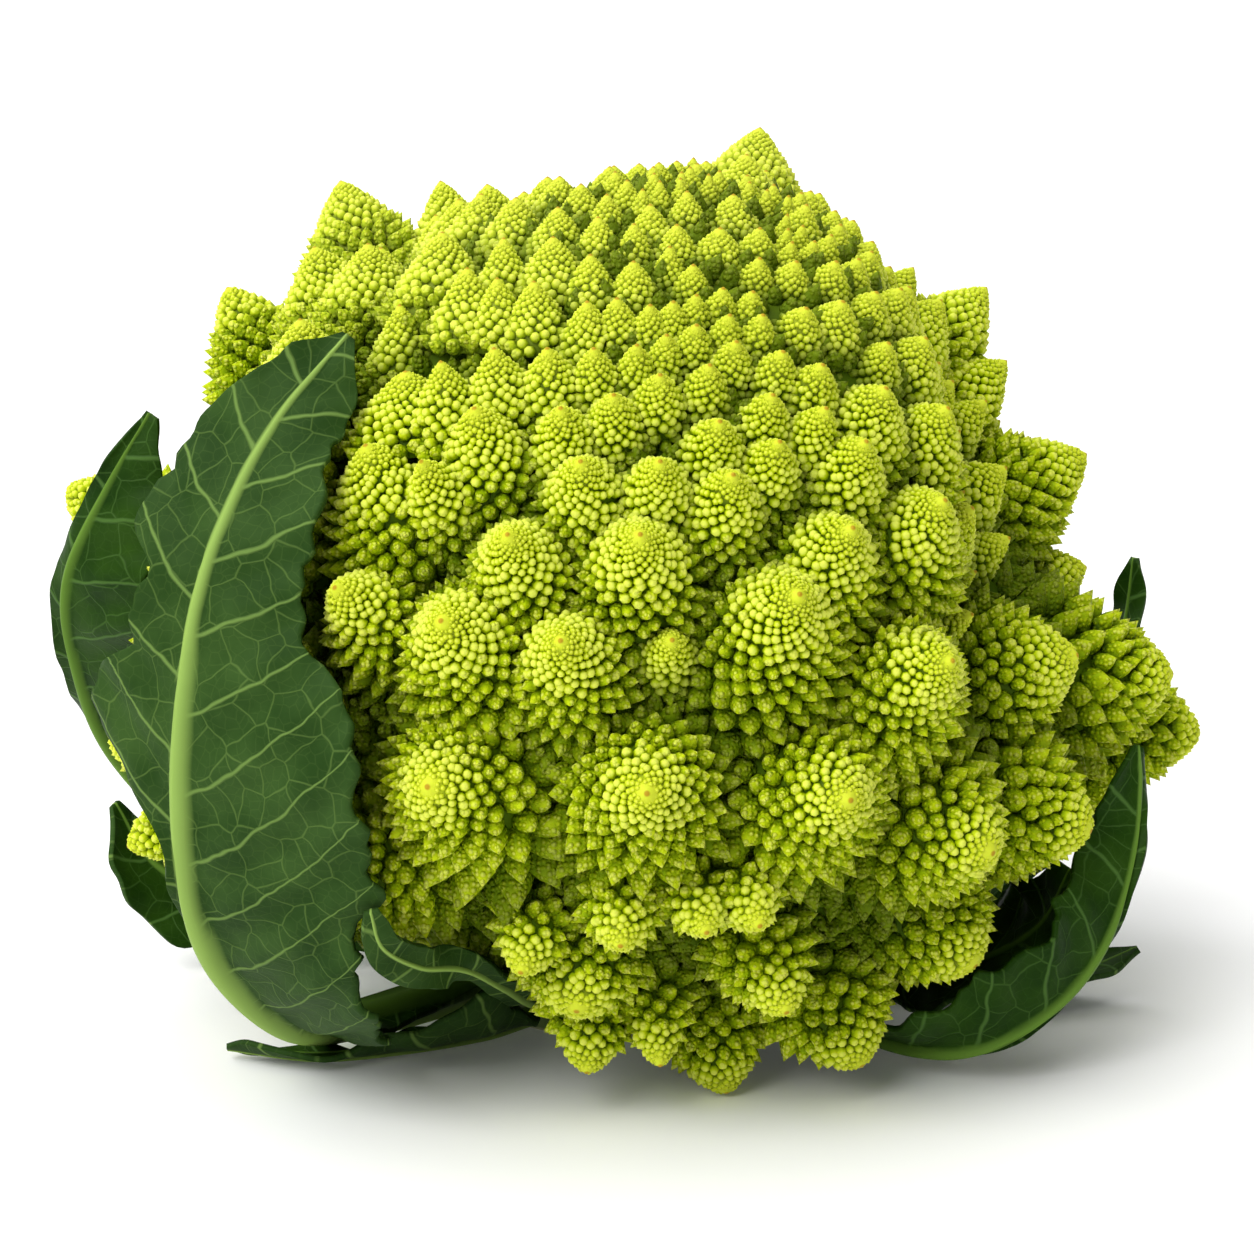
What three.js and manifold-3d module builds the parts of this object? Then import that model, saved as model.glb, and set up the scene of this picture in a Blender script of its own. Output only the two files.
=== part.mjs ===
// A romanesco head with its outer leaves, standing on its cut stem.
// Millimetres, +Z up. The origin is the middle of the stem's cut face, and the head's front looks along -Y.
import * as THREE from "three";
import { mergeVertices } from "three/addons/utils/BufferGeometryUtils.js";
import Module from "manifold-3d";

const wasm = await Module();
wasm.setup();
const { degToRad, lerp, smoothstep } = THREE.MathUtils;
const vec = (x, y, z) => new THREE.Vector3(x, y, z);

// Head: how far the floret tips reach from its centre, and the pole that the spiral opens from
const CENTRE = vec(2, -8, 61);
const REACH = { side: 83, depth: 79, up: 74, down: 62 };
const MEAN_REACH = 76;
const EGG_BLEND = 0.32;
const EGG_WEIGHT = 0.3;
const POLE = vec(0.185, -0.395, 0.9).normalize();

// Spiral: each floret takes the room on the head that its own width needs
const GOLDEN_TURN = degToRad(137.508);
const SPIRAL = { first: 0.12, last: 2.55, growth: 0.34, largest: 28, fill: 0.9 };
const SPACING = 0.9; // of two florets' mean width, between their tips
const TOO_CLOSE = 0.7; // of that spacing, where the smaller floret doesn't grow
const SETTLE = { passes: 30, step: 0.3 };

// The far side of the head, as the eye below sees it, is lower
const FALL = { most: 0.16, from: -0.1, to: 0.2 };

// Florets: cones with knobs in staggered rings, straight and slim round the pole and domed low on the head
const FLORET = { sink: 0.35, bare: 0.55, shallowest: 8, knob: 0.05 };
const FORM = { from: 0.85, to: 1.6, base: [1.35, 1.2], fullness: [0.8, 0.62] };
const FLORET_GRADES = [
  { over: 18, sides: 8, rows: 2 },
  { over: 11, sides: 6, rows: 2 },
  { over: 0, sides: 5, rows: 1 },
];
const CLEARANCE = 2.6; // between a floret and a leaf or the stem
const SHORTEST = 0.45; // of a floret's length, where a leaf holds it back
const TABLE_GAP = 0.3; // under the lowest floret

// How far a floret's axis turns upright: more high up, more on the left and less at the outline
const LEAN = { least: 0.3, most: 1.1, from: 0.6, to: 0.95, side: 0.55 };
const LEAN_EDGE = { share: 0.5, face: 0.5 };
const LEAN_LOW = { from: -0.45, to: 0.05 };

// Small florets in the gaps that the others leave round the pole
const GAPS = { tries: 3000, least: 5, fill: 1.25, last: 1 };

// Stem: the cut stump under the head
const STEM = { cut: 19, top: 24, height: 40, sides: 24, rows: 8, gap: 0.4, footGap: 0.7 };

// Leaf blades
const BLADE = 0.9;
const RIB_SIDE = 0.6; // of the rib's width, from its middle to where the blade starts
const COLUMNS = [-1, -0.62, -0.3, 0.3, 0.62, 1];

// The florets that show at the front, as [right, up, width] in the plane through the head's centre that
// faces an eye 600 mm away and 12 degrees above the table. Each tip lies on its line of sight, where it
// meets the egg, or at the distance from that plane to the eye that a fourth number gives.
const EYE = { distance: 600, above: degToRad(12) };
const TO_EYE = vec(0, -Math.cos(EYE.above), Math.sin(EYE.above));
const FRONT_FLORETS = [
  [20, 75, 18, 0], [18, 71, 11], [16, 65, 11], [14, 60, 13], [-4, 68, 10, 8], [-8, 66, 10, 12],
  [1.5, 67, 6, 8], [4.5, 69.5, 7, 4], [10, 70.5, 7, 4], [3.5, 63.5, 7], [7.5, 60.5, 7], [9, 65.5, 6],
  [27, 63.5, 6], [25.5, 55, 7], [31.5, 55, 7], [27, 48, 8], [32.5, 49, 10], [20, 60, 7], [20, 55.5, 6],
  [-5.5, 56, 7], [1, 55, 7], [-1.5, 49.5, 7], [3.5, 48.5, 6], [7, 49, 6], [10.5, 50, 5], [14.5, 51, 5.5],
  [19, 50.5, 5.5], [15.5, 47, 5.5], [20.5, 47, 6], [10.5, 45.5, 6.5], [16.5, 43, 7], [23.5, 41.5, 8],
  [6, 44, 6], [1.5, 42.5, 6.5], [-19.5, 52.5, 8], [-18.5, 58.5, 7], [12.5, 39.5, 7.5], [29.5, 39.5, 9],
  [30, 33, 9], [39, 36, 13], [10, 54.5, 6],
  [-21, 66.5, 18, 0], [-28, 67, 16, -6], [-43, 67, 22, -8], [33, 61.5, 12, 6], [-14, 60, 9, 6],
  [-37, 57, 15, 20],
  [-24, 54, 10], [-28, 40, 11], [-31, 25, 11], [-14, 52, 9], [43, 54, 13, -4], [54, 51, 18, -8],
  [-60, 51, 20, -6], [-6, 49, 8],
  [40, 47, 11, 16], [-34, 44, 15], [-20, 42, 11], [-12, 42, 10], [-5, 42, 8], [57, 40, 18, -2],
  [43, 39, 10, 26], [5, 38, 9], [-60, 37, 17, -8], [49, 37, 13, 18], [-2, 35, 10], [22, 35, 9],
  [54, 34, 13, 12], [-10, 33, 11], [-23, 33, 15], [14, 31, 11], [56, 31, 14, -8], [-40, 29, 18], [23, 28, 10],
  [36, 28, 13], [47, 28, 15, 34], [69, 26, 24, 0], [5, 25, 12], [-7, 25, 14], [57, 24, 17, 22], [16, 23, 13],
  [-84, 21, 19, -8], [52, 18, 19, 38], [34, 15, 17], [-18, 14, 17], [2, 14, 20], [69, 9, 18, -2],
  [-44, 6, 17], [26, 5, 26], [52, 2, 11, 42], [-28, 1, 25], [-10, -2, 21], [49, -5, 22], [82, -7, 32, 10],
  [86, -16, 24, -8], [-30, -24, 31], [3, -25, 32], [-75, -33, 16, 0], [55, -34, 31], [20, -45, 14],
  [12, -46, 13], [-1, -48, 15], [-16, -52, 14], [24, -58, 17, 52], [-8, -61, 26, 50], [15, -70, 22, 26],
  [38, -71, 20, 34], [-6, -67, 17, 38], [5, -66, 12, 40],
];

// Leaves, from the stem to the tip: the midrib's points, the first of them a bearing from the stem,
// [left, right] half-widths at even stations seen from the ribbed side, and the way the ribbed side looks
// at the stem and at the tip. rib is its width at the stem and at the tip, cup bends the edges away from
// the ribbed side, and wave ripples them.
const LEAVES = [
  {
    name: "leaf_front_left",
    midrib: [[-22, -10, 7], [-36, -22, 5.2], [-46, -37, 8.5], [-54, -51, 20], [-58, -61, 34],
      [-58.5, -67, 50], [-57.5, -69, 64], [-55, -68, 79], [-50, -64, 92], [-44, -59, 102], [-36, -53, 111]],
    widths: [[3, 3], [3.2, 4], [3.4, 5.5], [3.4, 8], [3.4, 13], [3.4, 19], [3.3, 23], [3.2, 25], [3.4, 25],
      [3.2, 28.5], [10, 28], [17.5, 26], [16, 27], [10, 20], [9.5, 14], [13.5, 14.5], [13.5, 12.5],
      [11, 10.5], [8, 9], [5.5, 6], [1, 1.2]],
    looks: [[-0.55, -0.5, -0.67], [-0.45, -0.88, 0.15]],
    rib: [7, 1.2],
    cup: 0.006,
    wave: { height: 1.6, count: 4 },
    rows: 15,
    colour: "#4d7a4a",
  },
  {
    name: "leaf_back_left",
    midrib: [[-23, 4, 9], [-44, 7, 13], [-63, 7, 24], [-76, 0, 40], [-80, -12, 57], [-79.5, -21, 71],
      [-73, -25, 85], [-66.5, -25, 96]],
    widths: [[2.5, 2.5], [4, 4], [4, 5], [4, 7], [3, 12], [3, 15.5], [2.5, 9.5], [0.8, 1.4]],
    looks: [[-0.5, -0.4, -0.75], [-0.5, -0.85, 0.2]],
    rib: [5.5, 1],
    cup: 0.012,
    wave: { height: 1.2, count: 3 },
    rows: 13,
    colour: "#47743f",
  },
  {
    name: "leaf_low_left",
    midrib: [[-22, 13, 7], [-44, 22, 7.5], [-61, 20, 10], [-73, 18, 17], [-79, 18, 27]],
    widths: [[2.5, 2.5], [5, 6], [6, 8], [6, 8], [0.8, 0.8]],
    looks: [[-0.3, 0.8, -0.5], [-0.75, 0.65, 0.1]],
    rib: [4.5, 0.9],
    cup: 0.01,
    wave: { height: 1, count: 2 },
    rows: 9,
    colour: "#3f6d38",
  },
  {
    name: "leaf_floor_left",
    midrib: [[-14, -17, 3], [-20, -22, 2.2], [-32, -29, 2], [-44, -32, 1.7], [-57, -29, 2.2]],
    widths: [[2.5, 2.5], [3.5, 6], [4, 9], [3.5, 13], [3, 8.5], [2.5, 3.8], [3, 4.5], [3, 3.5], [0.8, 0.8]],
    looks: [[0, 0, -1], [0, -0.25, -0.97]],
    rib: [3, 0.9],
    cup: 0.06,
    wave: { height: 1, count: 3 },
    rows: 9,
    colour: "#2f5a2a",
  },
  {
    name: "leaf_curl_front",
    midrib: [[-10.5, -21.5, 6], [-12.5, -31, 10], [-16, -43, 16], [-20.5, -55, 22], [-26.5, -66, 25.5],
      [-31, -73.5, 30.5], [-32.5, -76, 36.5]],
    widths: [[2, 2], [2.4, 2.4], [2.6, 2.6], [2.8, 2.8], [3, 3], [2.6, 2.6], [1, 1]],
    looks: [[0, -0.8, -0.6], [-0.2, -0.75, 0.6]],
    rib: [1.6, 0.8],
    cup: 0.02,
    wave: { height: 0.6, count: 3 },
    rows: 10,
    colour: "#4a7748",
  },
  {
    name: "leaf_front_right",
    midrib: [[21, -12, 8], [32, -23, 5.5], [44, -35, 4.5], [54, -41, 6.5], [63.5, -41.5, 12.5],
      [71, -37.5, 21], [75.3, -32.5, 32], [76.5, -28.5, 41], [76.5, -26, 47]],
    widths: [[2.5, 2.5], [5, 2], [9, 1.8], [11, 1.6], [11.5, 1.6], [10.5, 1.6], [8, 1.6], [5, 1.6],
      [0.8, 0.8]],
    looks: [[0.2, -0.6, -0.77], [0.4, -0.9, 0.1]],
    rib: [4, 0.9],
    cup: 0.008,
    wave: { height: 1.2, count: 3 },
    rows: 13,
    colour: "#33602f",
  },
  {
    name: "leaf_inner_right",
    midrib: [[23, -3, 8], [40, -8, 8], [53, -17, 11], [63, -22, 18], [68, -21, 27]],
    widths: [[2.5, 2.5], [6, 9], [9, 13], [10, 12], [3, 3]],
    looks: [[0.3, 0.3, -0.9], [0.7, 0.3, -0.65]],
    rib: [4, 0.9],
    cup: 0.006,
    wave: { height: 1, count: 2 },
    rows: 9,
    colour: "#2c5527",
  },
  {
    name: "leaf_low_right",
    midrib: [[24, 6, 5], [45, 6, 3.2], [62, 0, 3], [72, -1, 5], [81, 0, 8.5]],
    widths: [[2.5, 2.5], [6, 6], [8, 7], [5, 5], [0.8, 0.8]],
    looks: [[0, 0, -1], [0.3, 0, -0.95]],
    rib: [4, 0.9],
    cup: 0.006,
    wave: { height: 0.8, count: 2 },
    rows: 9,
    colour: "#356231",
  },
  {
    name: "leaf_back_right",
    midrib: [[19, 16, 8], [42, 28, 7], [64, 32, 16], [77, 35, 32], [82, 36, 50], [83.5, 36, 63]],
    widths: [[3, 3], [8, 8], [15, 15], [14, 13], [5, 5], [0.8, 0.8]],
    looks: [[0.4, 0.2, -0.9], [0.92, 0.38, 0.05]],
    rib: [6, 1],
    cup: 0.008,
    wave: { height: 1.4, count: 3 },
    rows: 12,
    colour: "#3d6b3a",
  },
  {
    name: "leaf_back_left_high",
    midrib: [[-15, 21, 8], [-32, 42, 8], [-49, 53, 22], [-58, 59, 44], [-58, 62, 66], [-51, 61, 86]],
    widths: [[3, 3], [9, 9], [18, 18], [20, 20], [13, 13], [0.8, 0.8]],
    looks: [[-0.3, 0.4, -0.87], [-0.6, 0.78, 0.2]],
    rib: [6.5, 1],
    cup: 0.006,
    wave: { height: 1.6, count: 4 },
    rows: 12,
    colour: "#44723f",
  },
  {
    name: "leaf_back_middle",
    midrib: [[5, 26, 8], [10, 52, 8], [15, 70, 22], [17, 78, 44], [15, 80, 66], [11, 76, 88]],
    widths: [[3, 3], [9, 9], [19, 19], [22, 22], [14, 14], [0.8, 0.8]],
    looks: [[0.05, 0.4, -0.9], [0.1, 0.97, 0.2]],
    rib: [6.5, 1],
    cup: 0.006,
    wave: { height: 1.6, count: 4 },
    rows: 12,
    colour: "#416f3c",
  },
];

// The egg's own reach from the head's centre along a direction
function eggAlong(out) {
  const height = out.z > 0 ? REACH.up : REACH.down;
  return 1 / Math.hypot(out.x / REACH.side, out.y / REACH.depth, out.z / height);
}

// How far the floret tips reach: the egg, drawn in or out towards the front florets that are near
function reachAlong(out) {
  let sum = 0;
  let weight = EGG_WEIGHT;
  for (const floret of frontFlorets) {
    const near = Math.exp(-((out.angleTo(floret.out) / EGG_BLEND) ** 2));
    sum += near * (floret.reach / eggAlong(floret.out) - 1);
    weight += near;
  }
  const fall = 1 - FALL.most * smoothstep(-out.dot(TO_EYE), FALL.from, FALL.to);
  return eggAlong(out) * (1 + sum / weight) * fall;
}

// The width that a floret has at an angle from the pole
function widthAt(polar) {
  return Math.min(SPIRAL.growth * polar * MEAN_REACH, SPIRAL.largest);
}

// How far the floret tips stand out of the core
function depthAt(polar) {
  return FLORET.bare * Math.max(widthAt(polar), FLORET.shallowest);
}

// Where the bare core ends under the florets
function coreAlong(out) {
  return reachAlong(out) - depthAt(out.angleTo(POLE));
}

function leanAt(out) {
  const high = smoothstep(out.z - LEAN.side * out.x, LEAN.from, LEAN.to);
  const facing = Math.min(1, Math.max(0, out.dot(TO_EYE) / LEAN_EDGE.face));
  const low = smoothstep(out.z, LEAN_LOW.from, LEAN_LOW.to);
  return lerp(LEAN.least, LEAN.most, high) * lerp(LEAN_EDGE.share, 1, facing) * low;
}

// A front floret: its tip is on its line of sight, on the egg or at the distance that it is given
function frontFloret([right, up, width, near]) {
  const upward = vec(0, Math.sin(EYE.above), Math.cos(EYE.above));
  const eye = TO_EYE.clone().multiplyScalar(EYE.distance);
  const aim = vec(right, 0, 0).addScaledVector(upward, up).sub(eye).divideScalar(EYE.distance);
  let reached = EYE.distance - near;
  if (near === undefined) {
    const shrink = vec(1 / REACH.side, 1 / REACH.depth, 1 / (up > 0 ? REACH.up : REACH.down));
    const from = eye.clone().multiply(shrink);
    const along = aim.clone().multiply(shrink);
    const middle = -from.dot(along) / along.lengthSq();
    const missed = from.clone().addScaledVector(along, middle).lengthSq();
    reached = middle - Math.sqrt(Math.max(0, 1 - missed) / along.lengthSq());
  }
  const tip = eye.addScaledVector(aim, reached);
  return { out: tip.clone().normalize(), reach: tip.length(), width, front: true };
}

// Florets on the golden-angle spiral, from the pole outwards
function spiralFlorets() {
  const east = vec(0, 1, 0).cross(POLE).normalize();
  const north = POLE.clone().cross(east);
  const florets = [];
  let polar = SPIRAL.first;
  for (let n = 0; polar < SPIRAL.last; n++) {
    const turn = n * GOLDEN_TURN;
    const out = POLE.clone()
      .multiplyScalar(Math.cos(polar))
      .addScaledVector(east, Math.cos(turn) * Math.sin(polar))
      .addScaledVector(north, Math.sin(turn) * Math.sin(polar));
    const width = widthAt(polar);
    florets.push({ out, reach: reachAlong(out), width, front: false });
    polar += (SPIRAL.fill * width ** 2) / (2 * Math.PI * MEAN_REACH ** 2 * Math.sin(polar));
  }
  return florets;
}

// The angle that two florets keep between their tips
function roomBetween(a, b) {
  return (SPACING * (a.width + b.width)) / 2 / MEAN_REACH;
}

// Drops each spiral floret that has no room beside the earlier ones
function withRoom(florets) {
  const kept = [];
  for (const floret of florets) {
    const crowded = kept.some((k) => k.out.angleTo(floret.out) < TOO_CLOSE * roomBetween(k, floret));
    if (floret.front || !crowded) kept.push(floret);
  }
  return kept;
}

// Crowded florets push each other apart over the head, and the front ones hold their place
function settle(florets) {
  for (let pass = 0; pass < SETTLE.passes; pass++) {
    const pushes = florets.map((a) => {
      const push = vec(0, 0, 0);
      for (const b of florets) {
        const short = a === b ? 0 : roomBetween(a, b) - a.out.angleTo(b.out);
        if (short > 0) push.addScaledVector(a.out.clone().sub(b.out).normalize(), short * SETTLE.step);
      }
      return push;
    });
    florets.forEach((floret, i) => {
      if (floret.front) return;
      floret.out.add(pushes[i]).normalize();
      floret.reach = reachAlong(floret.out);
    });
  }
  return florets;
}

// Adds florets round the pole, the widest gap first, until none is left that takes the smallest
function fillGaps(florets) {
  const scale = (2 * MEAN_REACH) / SPACING;
  const places = [];
  for (let n = 0; n < GAPS.tries; n++) {
    const height = 1 - (2 * n + 1) / GAPS.tries;
    const ring = Math.sqrt(1 - height ** 2);
    const out = vec(ring * Math.cos(n * GOLDEN_TURN), ring * Math.sin(n * GOLDEN_TURN), height);
    if (out.angleTo(POLE) >= GAPS.last) continue;
    const room = Math.min(...florets.map((floret) => floret.out.angleTo(out) * scale - floret.width));
    places.push({ out, room });
  }
  for (;;) {
    const best = places.reduce((a, b) => (b.room > a.room ? b : a));
    if (best.room <= GAPS.least) return florets;
    const out = best.out.clone();
    const width = Math.min(best.room * GAPS.fill, widthAt(out.angleTo(POLE)));
    florets.push({ out, reach: coreAlong(out) + FLORET.bare * width, width, front: false });
    for (const place of places) place.room = Math.min(place.room, place.out.angleTo(out) * scale - width);
  }
}

// A floret's cone: from its base, sunk in the core, to its tip
function coneOf({ out, reach, width }) {
  const polar = out.angleTo(POLE);
  const low = smoothstep(polar, FORM.from, FORM.to);
  const upright = vec(0, 0, 1).addScaledVector(out, -out.z);
  const axis = out.clone().addScaledVector(upright, leanAt(out)).normalize();
  const length = Math.max(depthAt(polar), FLORET.bare * width) + FLORET.sink * width;
  const tip = out.clone().multiplyScalar(reach).add(CENTRE);
  const base = tip.addScaledVector(axis, -length);
  const radius = (lerp(...FORM.base, low) * width) / 2;
  return { base, axis, length, radius, width, fullness: lerp(...FORM.fullness, low) };
}

// The share of its length that a floret keeps so as to stay clear of what stands beside it
function clearLength(cone, obstacles) {
  for (let share = 1; share >= SHORTEST; share -= 0.05) {
    const length = cone.length * share;
    const low = cone.base.z + cone.axis.z * length - TABLE_GAP;
    const meets = obstacles.some((point) => {
      const from = point.clone().sub(cone.base);
      const along = from.dot(cone.axis);
      if (along < -CLEARANCE || along > length + CLEARANCE) return false;
      const side = from.addScaledVector(cone.axis, -along).length();
      const down = Math.min(1, Math.max(0, 1 - along / length));
      return side < cone.radius * down ** cone.fullness * (1 + FLORET.knob) + CLEARANCE;
    });
    if (!meets && low > 0) return share;
  }
  return 0;
}

function outsideCore(point) {
  const out = point.clone().sub(CENTRE);
  return out.length() > coreAlong(out.clone().normalize());
}

// Manifold solid of a closed geometry
function solidOf(geometry) {
  geometry.deleteAttribute("normal");
  geometry.deleteAttribute("uv");
  const merged = mergeVertices(geometry, 1e-4);
  return new wasm.Manifold(
    new wasm.Mesh({
      numProp: 3,
      vertProperties: new Float32Array(merged.attributes.position.array),
      triVerts: new Uint32Array(merged.index.array),
    }),
  );
}

// three.js geometry of a Manifold solid
function geometryOf(solid) {
  const mesh = solid.getMesh();
  const geometry = new THREE.BufferGeometry();
  geometry.setAttribute("position", new THREE.BufferAttribute(mesh.vertProperties, 3));
  geometry.setIndex(new THREE.BufferAttribute(mesh.triVerts, 1));
  geometry.computeVertexNormals();
  return geometry;
}

// A floret with its rings of knobs, each ring turned half a knob from the next
function floretSolid(cone) {
  const { sides, rows } = FLORET_GRADES.find((grade) => cone.width >= grade.over);
  const geometry = new THREE.ConeGeometry(1, 1, sides, rows);
  const position = geometry.attributes.position;
  const point = vec(0, 0, 0);
  for (let i = 0; i < position.count; i++) {
    point.fromBufferAttribute(position, i);
    const down = 0.5 - point.y;
    const flat = Math.hypot(point.x, point.z);
    const turn = Math.atan2(point.x, point.z);
    const row = Math.round(down * rows);
    const raised = Math.cos((turn * sides) / 2 + row * Math.PI);
    const radius = cone.radius * down ** cone.fullness * (1 + FLORET.knob * raised);
    const spread = flat > 1e-6 ? radius / flat : 0;
    const rise = row > 0 && row < rows ? (FLORET.knob * raised) / rows : 0;
    position.setXYZ(i, point.x * spread, (1 - down + rise) * cone.length, point.z * spread);
  }
  geometry.applyQuaternion(new THREE.Quaternion().setFromUnitVectors(vec(0, 1, 0), cone.axis));
  geometry.translate(cone.base.x, cone.base.y, cone.base.z);
  return solidOf(geometry);
}

// The core that the florets stand out of, grown by a margin
function coreSolid(margin) {
  const geometry = new THREE.SphereGeometry(1, 24, 16);
  const position = geometry.attributes.position;
  const out = vec(0, 0, 0);
  for (let i = 0; i < position.count; i++) {
    out.fromBufferAttribute(position, i).normalize();
    const point = out.clone().multiplyScalar(coreAlong(out) + margin).add(CENTRE);
    position.setXYZ(i, point.x, point.y, point.z);
  }
  return solidOf(geometry);
}

// The stem's outer points lean with its height towards the head's centre
function leanStem(point) {
  const share = point.z / CENTRE.z;
  return vec(point.x + CENTRE.x * share, point.y + CENTRE.y * share, point.z);
}

function stemGeometry() {
  const geometry = new THREE.CylinderGeometry(STEM.top, STEM.cut, STEM.height, STEM.sides, STEM.rows);
  geometry.rotateX(Math.PI / 2).translate(0, 0, STEM.height / 2);
  const position = geometry.attributes.position;
  for (let i = 0; i < position.count; i++) {
    const point = leanStem(vec(0, 0, 0).fromBufferAttribute(position, i));
    position.setXYZ(i, point.x, point.y, point.z);
  }
  return geometry;
}

// Where a leaf's foot meets the stem: just clear of its side, at the given bearing and height
function footOf([x, y, z]) {
  const axis = leanStem(vec(0, 0, z));
  const outward = vec(x, y, z).sub(axis).normalize();
  const radius = lerp(STEM.cut, STEM.top, z / STEM.height) + STEM.footGap;
  return axis.addScaledVector(outward, radius);
}

// A leaf's middle surface as rows of points, with the rib's and the blade's half thickness at each
function leafRows(leaf) {
  const smooth = (points) => new THREE.CatmullRomCurve3(points, false, "catmullrom", 0.5);
  const [foot, ...blade] = leaf.midrib;
  const midrib = smooth([footOf(foot), ...blade.map((p) => vec(...p))]);
  const widths = smooth(leaf.widths.map(([left, right]) => vec(left, right, 0)));
  const looks = leaf.looks.map((p) => vec(...p).normalize());
  return Array.from({ length: leaf.rows }, (_, row) => {
    const along = row / (leaf.rows - 1);
    const middle = midrib.getPoint(along);
    const tangent = midrib.getTangent(along);
    const normal = looks[0].clone().lerp(looks[1], along);
    normal.addScaledVector(tangent, -normal.dot(tangent)).normalize();
    const right = tangent.clone().cross(normal);
    const width = widths.getPoint(along);
    const rib = lerp(...leaf.rib, along);
    const ripple = leaf.wave.height * Math.sin(along * leaf.wave.count * 2 * Math.PI);
    const pointAt = (across) => {
      const share = across / (across < 0 ? width.x : width.y);
      const bend = ripple * share * Math.abs(share) - leaf.cup * across ** 2;
      return middle.clone().addScaledVector(right, across).addScaledVector(normal, bend);
    };
    const side = Math.min(RIB_SIDE * rib, 0.8 * width.x, 0.8 * width.y);
    const edge = (v) => (v < 0 ? -lerp(side, width.x, -v) : lerp(side, width.y, v));
    const left = COLUMNS.filter((v) => v < 0).map(edge);
    const rightward = COLUMNS.filter((v) => v > 0).map(edge);
    const places = [...left, -side, 0, side, ...rightward];
    return {
      normal,
      points: places.map(pointAt),
      outer: places.map((across) => (across === 0 ? Math.max(BLADE / 2, 0.6 * rib) : BLADE / 2)),
      inner: places.map((across) => (across === 0 ? Math.max(BLADE / 2, 0.25 * rib) : BLADE / 2)),
    };
  });
}

// A closed blade: the same grid of triangles on both faces, and a narrow band round the edge
function leafGeometry(rows) {
  const across = rows[0].points.length;
  const faces = [1, -1].map((face) =>
    rows.flatMap((row, r) =>
      row.points.map((point, c) => {
        const before = rows[Math.max(0, r - 1)].points[c];
        const after = rows[Math.min(rows.length - 1, r + 1)].points[c];
        const left = row.points[Math.max(0, c - 1)];
        const right = row.points[Math.min(across - 1, c + 1)];
        const normal = right.clone().sub(left).cross(after.clone().sub(before)).normalize();
        if (normal.dot(row.normal) < 0) normal.negate();
        return point.clone().addScaledVector(normal, face > 0 ? row.outer[c] : -row.inner[c]);
      }),
    ),
  );
  const count = faces[0].length;
  const at = (face, r, c) => face * count + r * across + c;
  const index = [];
  for (let r = 0; r < rows.length - 1; r++) {
    for (let c = 0; c < across - 1; c++) {
      const [a, b, d, e] = [at(0, r, c), at(0, r, c + 1), at(0, r + 1, c), at(0, r + 1, c + 1)];
      index.push(a, b, e, a, e, d);
      index.push(a + count, e + count, b + count, a + count, d + count, e + count);
    }
  }
  const rim = [];
  for (let c = 0; c < across - 1; c++) rim.push(at(0, 0, c));
  for (let r = 0; r < rows.length - 1; r++) rim.push(at(0, r, across - 1));
  for (let c = across - 1; c > 0; c--) rim.push(at(0, rows.length - 1, c));
  for (let r = rows.length - 1; r > 0; r--) rim.push(at(0, r, 0));
  rim.forEach((a, i) => {
    const b = rim[(i + 1) % rim.length];
    index.push(a, a + count, b + count, a, b + count, b);
  });
  const geometry = new THREE.BufferGeometry().setFromPoints(faces.flat());
  geometry.setIndex(index);
  geometry.computeVertexNormals();
  return geometry;
}

// The curd: core and florets fused, with what the fusing seals inside filled
function curdSolid(obstacles) {
  const florets = fillGaps(withRoom(settle(withRoom([...frontFlorets, ...spiralFlorets()]))));
  let curd = coreSolid(0);
  for (const cone of florets.map(coneOf)) {
    const share = clearLength(cone, obstacles);
    if (share > 0) curd = curd.add(floretSolid({ ...cone, length: cone.length * share }));
  }
  const below = new THREE.BoxGeometry(400, 400, 50).translate(0, 0, TABLE_GAP - 25);
  const bodies = curd.subtract(solidOf(below)).decompose();
  return bodies.reduce((a, b) => (a.volume() > b.volume() ? a : b));
}

function namedMesh(name, geometry, color, roughness) {
  const material = new THREE.MeshStandardMaterial({ color, roughness, metalness: 0 });
  const mesh = new THREE.Mesh(geometry, material);
  mesh.name = name;
  return mesh;
}

const frontFlorets = FRONT_FLORETS.map(frontFloret);
const leafGrids = LEAVES.map(leafRows);
const stem = stemGeometry();
const stemPoints = Array.from({ length: stem.attributes.position.count }, (_, i) =>
  vec(0, 0, 0).fromBufferAttribute(stem.attributes.position, i),
);
const obstacles = [
  ...LEAVES.flatMap((leaf) => leafRows({ ...leaf, rows: 4 * leaf.rows - 3 })).flatMap((row) => row.points),
  ...stemPoints.filter(outsideCore),
];

const romanesco = new THREE.Group();
romanesco.name = "romanesco_head";
romanesco.add(namedMesh("curd", geometryOf(curdSolid(obstacles)), "#a9c23a", 0.55));
romanesco.add(namedMesh("cut_stem", geometryOf(solidOf(stem).subtract(coreSolid(STEM.gap))), "#b9cf8e", 0.6));
LEAVES.forEach((leaf, i) => {
  romanesco.add(namedMesh(leaf.name, leafGeometry(leafGrids[i]), leaf.colour, 0.5));
});

export default romanesco;
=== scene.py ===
import bpy
import math
import numpy as np
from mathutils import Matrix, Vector
from mathutils.kdtree import KDTree


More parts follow.
